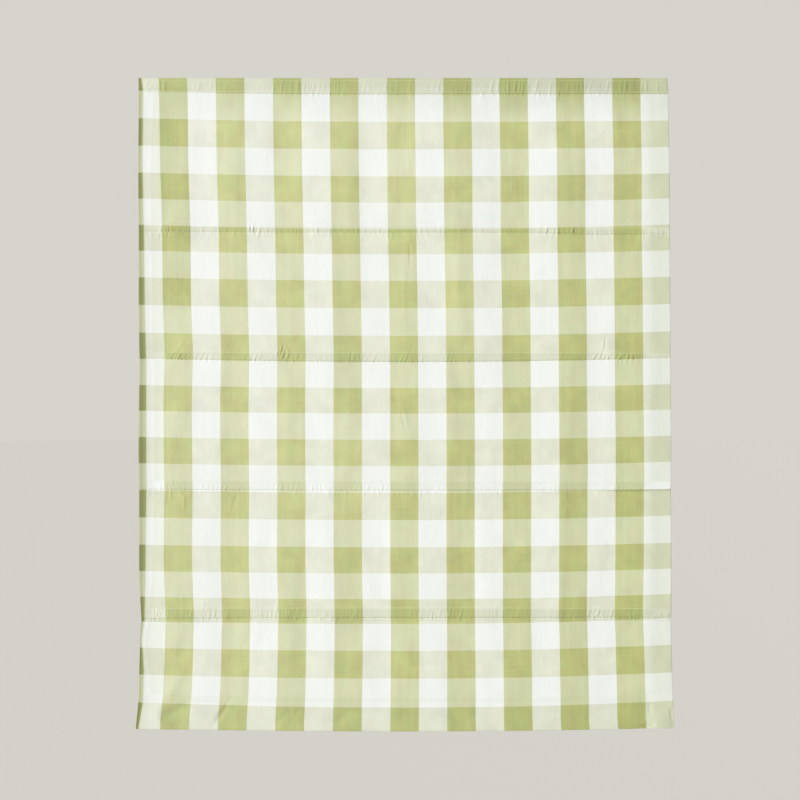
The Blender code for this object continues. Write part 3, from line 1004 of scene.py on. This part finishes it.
def return_patch(weave):
    """The narrow return beyond the fold, which lies in a green column, is several layers thick, and is
    painted dark with shade.
    """
    strip = laid(weave, 0, RETURN_COLUMN * CHECK_WIDTH)
    behind = laid(weave, 0, RETURN_BEHIND * CHECK_WIDTH)
    return carried(strip, behind, RETURN_SHOWS_AND_SHADE)


class ClothSheet:
    """A closed sheet of cloth while it is being built."""

    def __init__(self):
        self.points = []
        self.faces = []
        self.cloth = []
        self.under = []
        self.shows_and_shade = []

    def face(self, corners):
        """Adds a face. Each corner is a point's number, its patch, and its row and column there."""
        self.faces.append([corner[0] for corner in corners])
        for _, (cloth, under, shows_and_shade), row, column in corners:
            self.cloth.extend(cloth[row][column])
            self.under.extend(under[row][column])
            self.shows_and_shade.append(shows_and_shade[row][column])

    def piece(self, name, material):
        """The finished sheet as an object."""
        mesh = bpy.data.meshes.new(name)
        mesh.from_pydata(self.points, [], self.faces)
        mesh.uv_layers.new(name="cloth").uv.foreach_set("vector", self.cloth)
        mesh.uv_layers.new(name="under").uv.foreach_set("vector", self.under)
        mesh.attributes.new("shows_and_shade", "FLOAT", "CORNER").data.foreach_set("value", self.shows_and_shade)
        mesh.shade_smooth()
        mesh.materials.append(material)
        return added(name, mesh)


def closed_sheet(name, material, front, back, bounds, back_bounds, fine, front_patch, back_patch):
    """A closed sheet, made of the points of its front and its back, with faces between them at its edges.

    bounds says which columns of the front bound its wide cells, and back_bounds which of those columns the
    back has. fine says which wide cells are parted into narrow columns. front_patch and back_patch give the
    patch of a row and a cell.
    """
    last_row = front.shape[0] - 1
    lined = np.zeros((front.shape[0], len(bounds) - 1), bool)
    lined[:-1] |= fine
    lined[1:] |= fine
    front_numbers = np.full(front.shape[:2], -1)
    front_numbers[:, bounds] = 0
    for cell, (start, end) in enumerate(zip(bounds, bounds[1:])):
        front_numbers[np.ix_(np.flatnonzero(lined[:, cell]), range(start + 1, end))] = 0
    kept = front_numbers >= 0
    front_numbers[kept] = np.arange(kept.sum())
    back_numbers = kept.sum() + np.arange(back.shape[0] * back.shape[1]).reshape(back.shape[:2])

    sheet = ClothSheet()
    sheet.points = np.concatenate([front[kept], back.reshape(-1, 3)]).tolist()

    def at_front(row, column, patch):
        return int(front_numbers[row, column]), patch, row, column

    def at_back(row, column, patch):
        return int(back_numbers[row, column]), patch, row, column

    for row in range(last_row):
        for cell, (start, end) in enumerate(zip(bounds, bounds[1:])):
            patch = front_patch(row, cell)
            columns = list(range(start, end + 1))
            above = columns if lined[row, cell] else [start, end]
            below = columns if lined[row + 1, cell] else [start, end]
            parted = [(pair, pair) for pair in zip(above, above[1:])]
            for top, bottom in parted if len(above) == len(below) else [(above, below)]:
                corners = [at_front(row + 1, column, patch) for column in bottom]
                corners += [at_front(row, column, patch) for column in reversed(top)]
                sheet.face(corners)
        for cell in range(len(back_bounds) - 1):
            patch = back_patch(row, cell)
            corners = [(row, cell), (row, cell + 1), (row + 1, cell + 1), (row + 1, cell)]
            sheet.face([at_back(*corner, patch) for corner in corners])

    for row in range(last_row):
        for end, turn in ((0, 1), (-1, -1)):
            inside = front_patch(row, end % (len(bounds) - 1))
            outside = back_patch(row, end % (len(back_bounds) - 1))
            edge = [at_front(row + 1, end, inside), at_front(row, end, inside)]
            edge += [at_back(row, end, outside), at_back(row + 1, end, outside)]
            sheet.face(edge[::turn])
    for row, turn in ((0, 1), (last_row, -1)):
        for cell, (start, end) in enumerate(zip(back_bounds, back_bounds[1:])):
            inside = front_patch(min(row, last_row - 1), bounds.index(start))
            outside = back_patch(min(row, last_row - 1), cell)
            edge = [at_front(row, column, inside) for column in bounds if start <= column <= end]
            edge += [at_back(row, cell + 1, outside), at_back(row, cell, outside)]
            sheet.face(edge[::turn])
    return sheet.piece(name, material)


def reckon(tree, operation, *values):
    """A Math node on sockets and numbers, and its result."""
    node = tree.nodes.new("ShaderNodeMath")
    node.operation = operation
    for index, value in enumerate(values):
        if isinstance(value, (int, float)):
            node.inputs[index].default_value = value
        else:
            tree.links.new(value, node.inputs[index])
    return node.outputs["Value"]


def blended(tree, blend, factor, first, second):
    """A colour Mix node on sockets, numbers and colours, and its result."""
    node = tree.nodes.new("ShaderNodeMix")
    node.data_type = "RGBA"
    node.blend_type = blend
    for socket, value in ((node.inputs[0], factor), (node.inputs[6], first), (node.inputs[7], second)):
        if isinstance(value, (int, float, tuple)):
            socket.default_value = value
        else:
            tree.links.new(value, socket)
    return node.outputs[2]


def clamped(tree, value):
    """A value held between 0 and 1."""
    node = tree.nodes.new("ShaderNodeClamp")
    tree.links.new(value, node.inputs["Value"])
    return node.outputs["Result"]


def scaled(tree, colour, factor):
    """A colour made lighter or darker by a factor."""
    node = tree.nodes.new("ShaderNodeVectorMath")
    node.operation = "SCALE"
    tree.links.new(colour, node.inputs[0])
    tree.links.new(factor, node.inputs["Scale"])
    return node.outputs["Vector"]


# The yarn is dyed green or left white, so the check has four tones: white, green across white both ways,
# and full green. Colours are the photograph's, lightened a little for the light that falls on them.
WHITE = linear(240, 242, 240)
GREEN_WARP = linear(216, 221, 189)
GREEN_WEFT = linear(229, 232, 218)
GREEN_BOTH = linear(199, 205, 149)
STRIPE_EDGE = 0.8 * MM
CHECK_RESULTS = (("Colour", "NodeSocketColor"), ("Warp", "NodeSocketFloat"), ("Weft", "NodeSocketFloat"))


def woven_check():
    """The check as a node group: from a place in the cloth, in metres, to its colour."""
    tree = bpy.data.node_groups.new("woven_check", "ShaderNodeTree")
    tree.interface.new_socket("Place", in_out="INPUT", socket_type="NodeSocketVector")
    for name, kind in CHECK_RESULTS:
        tree.interface.new_socket(name, in_out="OUTPUT", socket_type=kind)
    given = tree.nodes.new("NodeGroupInput")
    result = tree.nodes.new("NodeGroupOutput")
    parts = tree.nodes.new("ShaderNodeSeparateXYZ")
    tree.links.new(given.outputs["Place"], parts.inputs["Vector"])
    stripes = []
    for socket, width, sign in (("X", CHECK_WIDTH, 1.0), ("Y", CHECK_HEIGHT, -1.0)):
        wave = reckon(tree, "SINE", reckon(tree, "MULTIPLY", parts.outputs[socket], math.pi / width))
        steep = reckon(tree, "MULTIPLY_ADD", wave, sign * width / (math.pi * STRIPE_EDGE), 0.5)
        stripes.append(clamped(tree, steep))
    warp, weft = stripes
    white_row = blended(tree, "MIX", warp, WHITE, GREEN_WARP)
    green_row = blended(tree, "MIX", warp, GREEN_WEFT, GREEN_BOTH)
    colour = blended(tree, "MIX", weft, white_row, green_row)
    for (name, _), value in zip(CHECK_RESULTS, (colour, warp, weft)):
        tree.links.new(value, result.inputs[name])
    return tree


CHECK_GROUP = woven_check()


def noise(tree, vector, across, down, detail):
    """Smooth noise on a place in the cloth, with so many turns a metre across and down."""
    stretched = tree.nodes.new("ShaderNodeVectorMath")
    stretched.operation = "MULTIPLY"
    stretched.inputs[1].default_value = (across, down, 1.0)
    tree.links.new(vector, stretched.inputs[0])
    node = tree.nodes.new("ShaderNodeTexNoise")
    node.noise_dimensions = "2D"
    node.inputs["Scale"].default_value = 1.0
    node.inputs["Detail"].default_value = detail
    tree.links.new(stretched.outputs["Vector"], node.inputs["Vector"])
    return node.outputs["Fac"]


def bumped(tree, height, strength, distance, under=None):
    """A Bump node on a height, and its normal."""
    node = tree.nodes.new("ShaderNodeBump")
    node.inputs["Strength"].default_value = strength
    node.inputs["Distance"].default_value = distance
    tree.links.new(height, node.inputs["Height"])
    if under is not None:
        tree.links.new(under, node.inputs["Normal"])
    return node.outputs["Normal"]


# The dye is patchy in the green yarns. Painted shade darkens the cloth towards the right, the bottom and
# the top edge, and a few long stretches of one column carry the painted shade and light of long soft folds.
GREEN_IN_WARP = 0.65
GREEN_IN_WEFT = 0.35
DYE_NOISE = (44.0, 24.0, 2.5)
DYE_CONTRAST = 2.6
DYE_PATCH = (1.015, 0.955, 0.955, 1.0)
# Painted shade, darker towards the right and the bottom, and under the top edge, most at its right:
SHADE_ACROSS = 0.46
SHADE_DOWN = 0.15
TOP_SHADE = 0.30
TOP_SHADE_RIGHT = 0.60
TOP_SHADE_REACH = 44.0 * MM
FOLD_SHADE_STRIPS = (
    # column of the check, from row, to row, how much darker or lighter it is painted there
    (0, 0, 8, 0.32),
    (8, -0.2, 4.8, -0.18),
    (10, 5.4, 10, -0.17),
    (6, 12.2, 16, -0.18),
    (4, 13.6, 15.8, -0.15),
)
FOLD_SHADE_FADE = 45.0 * MM

# The yarns are uneven, with slubs along both and a soft mottle. What lies behind shows most through pale
# cloth; where many layers show, the cloth is painted darker with shade. The surface is crumpled a little
# under its plain weave.
SLUBS = (
    # turns a metre across and down, detail, how strong everywhere, in warp stripes, weft stripes and both
    (700, 5, 3, 0.01, 0.055, 0, 0.08),
    (6, 700, 3, 0.01, 0, 0.02, 0.06),
    (62, 4, 1, 0.03, 0.07, 0, 0),
    (34, 27, 2, 0.05, 0.06, 0.11, 0),
)
LAYER_SHOWS = 0.42
GREEN_WEFT_SHOWS = 0.58
WHITE_ON_WHITE = 0.8
LAYER_TINT = (0.955, 0.98, 0.985, 1.0)
# Past this amount of showing, the colour is darkened as painted shade, by this much for each step more.
PAINTED_SHADE_FROM = 1.8
PAINTED_SHADE_STRENGTH = 0.12
YARN = 0.65 * MM
YARN_RELIEF = 0.06 * MM
YARN_STRENGTH = 0.35
CRUMPLE_NOISE = (130.0, 45.0, 3.0)
CRUMPLE_RELIEF = 0.5 * MM
CRUMPLE_STRENGTH = 0.6
CLOTH_ROUGHNESS = 0.86
CLOTH_GLOSS = 0.25
CLOTH_SHEEN = 0.12
CLOTH_SHEEN_ROUGHNESS = 0.5


def check_material(name):
    """Woven check: its four tones, slubs in both yarns, uneven dye, painted shade, what shows through, and
    the weave.
    """
    material = bpy.data.materials.new(name)
    material.use_nodes = True
    tree = material.node_tree
    shader = tree.nodes["Principled BSDF"]
    times = functools.partial(reckon, tree, "MULTIPLY")
    times_plus = functools.partial(reckon, tree, "MULTIPLY_ADD")
    checks = []
    for layer in ("cloth", "under"):
        node = tree.nodes.new("ShaderNodeUVMap")
        node.uv_map = layer
        group = tree.nodes.new("ShaderNodeGroup")
        group.node_tree = CHECK_GROUP
        tree.links.new(node.outputs["UV"], group.inputs["Place"])
        checks.append((node.outputs["UV"], group.outputs))
    (place_in, cloth), (_, behind) = checks
    parts = tree.nodes.new("ShaderNodeSeparateXYZ")
    tree.links.new(place_in, parts.inputs["Vector"])
    across = parts.outputs["X"]
    down = parts.outputs["Y"]
    warp = cloth["Warp"]
    weft = cloth["Weft"]
    both = times(warp, weft)

    greenness = times(warp, GREEN_IN_WARP)
    greenness = times_plus(weft, GREEN_IN_WEFT, greenness)
    patches = noise(tree, place_in, *DYE_NOISE)
    patches = clamped(tree, times_plus(patches, DYE_CONTRAST, 0.5 - 0.5 * DYE_CONTRAST))
    patches = times(patches, greenness)
    patchy = blended(tree, "MULTIPLY", patches, cloth["Colour"], DYE_PATCH)
    brightness = 1.0
    for turns_across, turns_down, detail, amount, *stripes in SLUBS:
        for stripe, more in zip((warp, weft, both), stripes):
            amount = times_plus(stripe, more, amount)
        slub = reckon(tree, "SUBTRACT", noise(tree, place_in, turns_across, turns_down, detail), 0.5)
        brightness = times_plus(slub, amount, brightness)
    slubbed = scaled(tree, patchy, brightness)
    # Painted shade: depth darkens the colour towards the right and the bottom, and just under the top edge,
    # most at its right.
    shade_under_top = times_plus(across, TOP_SHADE_RIGHT, TOP_SHADE)
    shade_under_top = times(shade_under_top, reckon(tree, "GREATER_THAN", down, 0.0))
    depth = times(across, SHADE_ACROSS)
    depth = times_plus(down, SHADE_DOWN, depth)
    near_top = clamped(tree, times_plus(down, -1.0 / TOP_SHADE_REACH, 1.0))
    depth = times_plus(near_top, shade_under_top, depth)
    # Painted shade and painted light of long soft folds: a stretch of one column darkened or lightened.
    for column, first_row, last_row, fold_shade in FOLD_SHADE_STRIPS:
        centre = (column + 0.5) * CHECK_WIDTH
        in_column = reckon(tree, "COMPARE", across, centre, CHECK_WIDTH / 2.0)
        middle = (first_row + last_row) / 2.0 * CHECK_HEIGHT
        half = (last_row - first_row) / 2.0 * CHECK_HEIGHT
        off = reckon(tree, "ABSOLUTE", reckon(tree, "SUBTRACT", down, middle))
        inside = times_plus(off, -1.0 / FOLD_SHADE_FADE, half / FOLD_SHADE_FADE + 0.5)
        strip = times(in_column, clamped(tree, inside))
        depth = times_plus(strip, fold_shade, depth)
    dyed_and_shaded = blended(tree, "MULTIPLY", depth, slubbed, slubbed)

    layers = tree.nodes.new("ShaderNodeAttribute")
    layers.attribute_name = "shows_and_shade"
    lightness = tree.nodes.new("ShaderNodeRGBToBW")
    tree.links.new(dyed_and_shaded, lightness.inputs["Color"])
    lets_through = times(lightness.outputs["Val"], lightness.outputs["Val"])
    shows_and_shade = times_plus(weft, GREEN_WEFT_SHOWS, 1.0)
    shows_and_shade = times(shows_and_shade, layers.outputs["Fac"])
    white = 1.0
    for stripe in (warp, weft, behind["Warp"], behind["Weft"]):
        white = times(white, reckon(tree, "SUBTRACT", 1.0, stripe))
    shows_and_shade = times(shows_and_shade, times_plus(white, -WHITE_ON_WHITE, 1.0))
    showing = times(times(shows_and_shade, LAYER_SHOWS), lets_through)
    showing = reckon(tree, "MINIMUM", showing, 1.0)
    seen = blended(tree, "MULTIPLY", showing, dyed_and_shaded, behind["Colour"])
    tinted = blended(tree, "MULTIPLY", times(shows_and_shade, both), seen, LAYER_TINT)
    # Painted shade where many layers show: the colour is darkened past a threshold.
    thick = reckon(tree, "MAXIMUM", reckon(tree, "SUBTRACT", shows_and_shade, PAINTED_SHADE_FROM), 0.0)
    layered_and_shaded = scaled(tree, tinted, times_plus(thick, -PAINTED_SHADE_STRENGTH, 1.0))
    tree.links.new(layered_and_shaded, shader.inputs["Base Color"])

    ends = reckon(tree, "SINE", times(across, math.pi / YARN))
    picks = reckon(tree, "SINE", times(down, math.pi / YARN))
    crumple = bumped(tree, noise(tree, place_in, *CRUMPLE_NOISE), CRUMPLE_STRENGTH, CRUMPLE_RELIEF)
    weave = bumped(tree, times(ends, picks), YARN_STRENGTH, YARN_RELIEF, crumple)
    tree.links.new(weave, shader.inputs["Normal"])
    shader.inputs["Roughness"].default_value = CLOTH_ROUGHNESS
    shader.inputs["Specular IOR Level"].default_value = CLOTH_GLOSS
    shader.inputs["Sheen Weight"].default_value = CLOTH_SHEEN
    shader.inputs["Sheen Roughness"].default_value = CLOTH_SHEEN_ROUGHNESS
    return material


check_cloth = check_material("check_cloth")

# The front's patch is its check, and the return's a green column of it. On the back each turning shows its
# own check, mirrored at the line where it turns.
front_main = seen_from_front(front_weave)
front_return = return_patch(front_weave)
back_fold_column = int(np.flatnonzero(back_places == 0.0)[0])
BACK_PATCHES = {
    "plain": carried(back_weave, back_weave, 0.0),
    "return": return_patch(back_weave),
    "left hem": carried(mirrored(back_weave, back_weave[:, back_fold_column, None], 0), back_weave, 1.0),
    "right hem": carried(mirrored(back_weave, back_weave[:, -1, None], 0), back_weave, 1.0),
    "heading": carried(mirrored(back_weave, back_weave[:1], 1), back_weave, 1.0),
    "bottom hem": carried(mirrored(back_weave, back_weave[-1:], 1), back_weave, 1.0),
}
ROW_SLACK = 0.1 * MM


def choose_front(row, cell):
    """The front's patch at a wide cell."""
    return front_return if bounds[cell] < FOLD_COLUMN else front_main


def choose_back(row, cell):
    """The back's patch at a cell: which turning lies outermost there."""
    if cell < back_fold_column:
        return BACK_PATCHES["return"]
    if rows[row] < HEADING - ROW_SLACK:
        return BACK_PATCHES["heading"]
    if rows[row] > HEM_TOP - ROW_SLACK:
        return BACK_PATCHES["bottom hem"]
    middle = (back_places[cell] + back_places[cell + 1]) / 2.0 * NOMINAL_WIDTH
    if middle < LEFT_HEM:
        return BACK_PATCHES["left hem"]
    if middle > NOMINAL_WIDTH - RIGHT_HEM:
        return BACK_PATCHES["right hem"]
    return BACK_PATCHES["plain"]


fine = bent_cells(front, places, bounds)
face_cloth = closed_sheet(
    "face_cloth_sewn", check_cloth, front, back, bounds, back_bounds, fine, choose_front, choose_back
)
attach(face_cloth, "root")
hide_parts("face_cloth")

# Each rod casing is a strip of the same cloth, laid across the back and sewn down along its two long edges.
# Its middle stands off the face cloth, where the rod would lie, and its ends stop short of the sides.
CASING_SIDE_INSET = 3.0 * MM
CASING_TURNING = 2.2 * MM
CASING_GAP = 1.0 * MM
CASING_POCKET = 2.4 * MM
CASING_END_CLOSE = 9.0 * MM
TURNED_THICKER = 0.5
STRIP_SHOWS = 0.6
STRIP_SEED = 60
STRIP_INSET = CASING_SIDE_INSET / NOMINAL_WIDTH
STRIP_COLUMN_PITCH = 3.4
BEYOND_ROW = (CASING_TURNING / MM, 1.8, 0.8, 0.0, -0.8, -2.0, -4.0)
STRIP_GATHERS = (
    # pitch, height, lean, reach (mm)
    (8, 0.35, -0.12, 5),
    (13, 0.5, 0.1, 9),
)
STRIP_GATHERS_FROM = -440.0
STRIP_GATHERS_TO = 450.0
STRIP_GATHER_HEIGHTS = (0.2, 1.0)
STRIP_GATHER_WIDTH = 0.35


def strip_surface(number, drop, place, outer):
    """Points of a casing strip: its inner side lies close behind the face cloth."""
    _, line, height, _ = CASINGS[number]
    lower = hang_line(line)
    points = face_surface(drop, place, "back", gathered=False)
    share = np.clip((lower - drop) / (height * MM), 0.0, 1.0)
    from_end = np.minimum(place, 1.0 - place) * NOMINAL_WIDTH - CASING_SIDE_INSET
    ends = ease(from_end / CASING_END_CLOSE)
    behind = CASING_GAP + CASING_POCKET * np.sin(np.pi * share) * ends
    chance = np.random.default_rng(STRIP_SEED + number)
    gathers = np.zeros(points.shape[:2])
    below = (drop - lower) / MM + height / 2.0
    for pitch, tall, lean, reach in STRIP_GATHERS:
        edge = bell(np.abs(below) - height / 2.0, reach)
        at = STRIP_GATHERS_FROM
        while at < STRIP_GATHERS_TO:
            at += pitch * chance.uniform(*GATHER_SPACING)
            off = points[..., 0] / MM - at - lean * below
            shape = bell(off, STRIP_GATHER_WIDTH * pitch)
            gathers += tall * chance.uniform(*STRIP_GATHER_HEIGHTS) * shape * edge
    turned_in = np.clip(1.0 - np.minimum(share, 1.0 - share) * height * MM / CASING_TURNING, 0.0, 1.0)
    thickness = CLOTH * (1.0 + TURNED_THICKER * turned_in) if outer else 0.0
    points[..., 1] += behind + gathers * MM * ends + thickness
    return points


def choose_strip(row, cell):
    """The one patch of the strip that is being made."""
    return strip_patch


for number, (node, line, height, _) in enumerate(CASINGS):
    lower = hang_line(line) / MM
    strip_rows = [lower - height - beyond for beyond in BEYOND_ROW] + [lower - height / 2.0]
    strip_rows += [lower + beyond for beyond in reversed(BEYOND_ROW)]
    strip_drop = np.array(strip_rows)[:, None] * MM
    steps = round((NOMINAL_WIDTH - 2.0 * CASING_SIDE_INSET) / MM / STRIP_COLUMN_PITCH)
    strip_place = np.linspace(STRIP_INSET, 1.0 - STRIP_INSET, steps + 1)[None, :]
    inner = strip_surface(number, strip_drop, strip_place, outer=False)
    outer = strip_surface(number, strip_drop, strip_place, outer=True)
    behind_weave = weave_place(inner, strip_place)
    strip_weave = laid(behind_weave, 1, STRIP_SEEN[number][1] * CHECK_HEIGHT + strip_drop - hang_line(line))
    strip_patch = carried(strip_weave, behind_weave, STRIP_SHOWS)
    columns = list(range(steps + 1))
    unparted = np.zeros((len(strip_rows) - 1, steps), bool)
    strip = closed_sheet(
        node + "_strip", check_cloth, inner, outer, columns, columns, unparted, choose_strip, choose_strip
    )
    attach(strip, "root")
    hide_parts(node)

# The sewing is a light spun thread in short lockstitches. It runs along both rows of the heading and of
# each casing, through all layers, and small slanted stitches on the back hold the hems.
THREAD_DARK = linear(226, 229, 202)
THREAD_LIGHT = linear(244, 245, 230)
THREAD_FIBRES = 900.0
THREAD_RELIEF = 0.1 * MM
THREAD_STRENGTH = 0.5
THREAD_ROUGHNESS = 0.6
THREAD_SHEEN = 0.2
THREAD_SIDES = 5
STITCH_SEGMENTS = 4
STITCH_SEED = 7
STITCH_SIZES = (
    ("Stitch Pitch", 4.0 * MM),
    ("Stitch Length", 3.0 * MM),
    ("Thread Radius", 0.22 * MM),
    ("Rise", 0.5 * MM),
    ("Sink", 0.25 * MM),
    ("Slant", 0.0),
    ("Unevenness", 0.06),
    ("Outwards", -1.0),
)

thread = bpy.data.materials.new("sewing_thread")
thread.use_nodes = True
thread_tree = thread.node_tree
thread_shader = thread_tree.nodes["Principled BSDF"]
thread_place = thread_tree.nodes.new("ShaderNodeTexCoord")
thread_noise = thread_tree.nodes.new("ShaderNodeTexNoise")
thread_noise.inputs["Scale"].default_value = THREAD_FIBRES
thread_tree.links.new(thread_place.outputs["Object"], thread_noise.inputs["Vector"])
fibres = thread_noise.outputs["Fac"]
thread_colour = blended(thread_tree, "MIX", fibres, THREAD_DARK, THREAD_LIGHT)
thread_normal = bumped(thread_tree, fibres, THREAD_STRENGTH, THREAD_RELIEF)
thread_tree.links.new(thread_colour, thread_shader.inputs["Base Color"])
thread_tree.links.new(thread_normal, thread_shader.inputs["Normal"])
thread_shader.inputs["Roughness"].default_value = THREAD_ROUGHNESS
thread_shader.inputs["Sheen Weight"].default_value = THREAD_SHEEN


def stitch_tree():
    """Geometry Nodes: stitches of thread, one after another along each line of the input."""
    tree = bpy.data.node_groups.new("stitches", "GeometryNodeTree")
    tree.interface.new_socket("Lines", in_out="INPUT", socket_type="NodeSocketGeometry")
    for name, value in STITCH_SIZES:
        socket = tree.interface.new_socket(name, in_out="INPUT", socket_type="NodeSocketFloat")
        socket.default_value = value
    tree.interface.new_socket("Thread", in_out="INPUT", socket_type="NodeSocketMaterial")
    tree.interface.new_socket("Stitches", in_out="OUTPUT", socket_type="NodeSocketGeometry")
    given = tree.nodes.new("NodeGroupInput").outputs
    result = tree.nodes.new("NodeGroupOutput")
    times = functools.partial(reckon, tree, "MULTIPLY")

    def node(kind, **links):
        made = tree.nodes.new(kind)
        for name, value in links.items():
            socket = made.inputs[name.replace("_", " ")]
            if isinstance(value, bpy.types.NodeSocket):
                tree.links.new(value, socket)
            else:
                socket.default_value = value
        return made

    half = times(given["Stitch Length"], 0.5)
    sunk = times(times(given["Sink"], given["Outwards"]), -1.0)
    risen = times(given["Rise"], given["Outwards"])
    start = node("ShaderNodeCombineXYZ", X=times(half, -1.0), Y=sunk)
    middle = node("ShaderNodeCombineXYZ", X=0.0, Y=risen)
    end = node("ShaderNodeCombineXYZ", X=half, Y=sunk)
    arch = node(
        "GeometryNodeCurveQuadraticBezier", Resolution=STITCH_SEGMENTS,
        Start=start.outputs[0], Middle=middle.outputs[0], End=end.outputs[0],
    )
    profile = node(
        "GeometryNodeCurvePrimitiveCircle", Resolution=THREAD_SIDES, Radius=given["Thread Radius"]
    ).outputs["Curve"]
    stitch = node("GeometryNodeCurveToMesh", Curve=arch.outputs[0], Profile_Curve=profile, Fill_Caps=True)
    smooth = node("GeometryNodeSetShadeSmooth", Geometry=stitch.outputs[0])
    lines = node("GeometryNodeMeshToCurve", Mesh=given["Lines"])
    spaced = node("GeometryNodeResampleCurve", Curve=lines.outputs[0])
    spaced.mode = "LENGTH"
    tree.links.new(given["Stitch Pitch"], spaced.inputs[3])
    tangent = node("GeometryNodeInputTangent")
    along = node("FunctionNodeAlignRotationToVector", Vector=tangent.outputs[0])
    along.axis = "X"
    uneven = node("FunctionNodeRandomValue", Seed=STITCH_SEED)
    uneven.data_type = "FLOAT"
    tree.links.new(times(given["Unevenness"], -1.0), uneven.inputs[2])
    tree.links.new(given["Unevenness"], uneven.inputs[3])
    tilt = reckon(tree, "ADD", given["Slant"], uneven.outputs[1])
    tilted = node("FunctionNodeEulerToRotation", Euler=node("ShaderNodeCombineXYZ", Y=tilt).outputs[0])
    turned = node("FunctionNodeRotateRotation", Rotation=along.outputs[0], Rotate_By=tilted.outputs[0])
    turned.rotation_space = "LOCAL"
    placed = node(
        "GeometryNodeInstanceOnPoints", Points=spaced.outputs[0], Instance=smooth.outputs[0],
        Rotation=turned.outputs[0],
    )
    real = node("GeometryNodeRealizeInstances", Geometry=placed.outputs[0])
    dressed = node("GeometryNodeSetMaterial", Geometry=real.outputs[0], Material=given["Thread"])
    tree.links.new(dressed.outputs[0], result.inputs["Stitches"])
    return tree


STITCHES = stitch_tree()
SOCKETS = {item.name: item.identifier for item in STITCHES.interface.items_tree if item.in_out == "INPUT"}


def sewn(name, lines, **sizes):
    """A plain mesh of the stitches along some lines, each a row of points."""
    points = []
    edges = []
    for line in lines:
        first = len(points)
        points += line.tolist()
        edges += [(number, number + 1) for number in range(first, len(points) - 1)]
    guide = bpy.data.meshes.new(name + "_lines")
    guide.from_pydata(points, edges, [])
    path = added(name + "_lines", guide)
    modifier = path.modifiers.new("stitches", "NODES")
    modifier.node_group = STITCHES
    modifier[SOCKETS["Thread"]] = thread
    for size, value in sizes.items():
        modifier[SOCKETS[size.replace("_", " ")]] = value
    evaluated = path.evaluated_get(bpy.context.evaluated_depsgraph_get())
    mesh = bpy.data.meshes.new_from_object(evaluated)
    mesh.name = name
    piece = added(name, mesh)
    bpy.data.objects.remove(path, do_unlink=True)
    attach(piece, "root")
    return piece


# Along the front, the stitches of the upper rows lie on the cloth and those of the casings' lower rows sink
# into it. On the back they run along the heading and the strips, and inside the edges of the three hems.
LINE_POINTS = 420
LINE_INSET = 0.003
SUNK_RISE = 0.2 * MM
SUNK_RADIUS = 0.2 * MM
HEM_STITCH_IN = 0.3 * MM
HEM_LINE_POINTS = 300
HEM_LINE_INSET = 0.004
HEM_PITCH = 6.5 * MM
HEM_STITCH = 2.6 * MM
HEM_SLANT = 0.6


def across_at(drop, start, end, count):
    """A drop and places across, as the surfaces take them."""
    return np.array([[drop]]), np.linspace(start, end, count)[None, :]


sewn_drops = [HEADING_UPPER_ROW, HEADING_LOWER_ROW]
for _, line, height, _ in CASINGS:
    sewn_drops += [hang_line(line) - height * MM, hang_line(line)]
front_lines = []
back_lines = []
for number, at in enumerate(sewn_drops):
    whole = across_at(at, LINE_INSET, 1.0 - LINE_INSET, LINE_POINTS)
    front_lines.append(face_surface(*whole, "front")[0])
    if at in (HEADING_UPPER_ROW, HEADING_LOWER_ROW):
        back_lines.append(face_surface(*whole, "back", gathered=False)[0])
    else:
        from_side = STRIP_INSET + LINE_INSET
        on_strip = across_at(at, from_side, 1.0 - from_side, LINE_POINTS)
        back_lines.append(strip_surface(number // 2 - 1, *on_strip, outer=True)[0])
lifted_stitches = sewn("lifted_stitches", front_lines[:2] + front_lines[2::2])
sunk_stitches = sewn("sunk_stitches", front_lines[3::2], Rise=SUNK_RISE, Thread_Radius=SUNK_RADIUS)
back_stitches = sewn("back_stitches", back_lines, Outwards=1.0)

left_place = (LEFT_HEM + HEM_STITCH_IN) / NOMINAL_WIDTH
right_place = 1.0 - (RIGHT_HEM + HEM_STITCH_IN) / NOMINAL_WIDTH
hem_drops = np.linspace(HEADING + HEM_LINE_INSET, HEM_TOP - HEM_LINE_INSET, HEM_LINE_POINTS)[:, None]
hem_lines = []
for at in (left_place, right_place):
    hem_lines.append(face_surface(hem_drops, np.array([[at]]), "back", gathered=False)[:, 0])
bottom_line = across_at(
    HEM_TOP - HEM_STITCH_IN, left_place + HEM_LINE_INSET, right_place - HEM_LINE_INSET, HEM_LINE_POINTS
)
hem_lines.append(face_surface(*bottom_line, "back", gathered=False)[0])
hem_stitches = sewn(
    "hem_stitches", hem_lines,
    Outwards=1.0, Stitch_Pitch=HEM_PITCH, Stitch_Length=HEM_STITCH, Slant=HEM_SLANT,
)
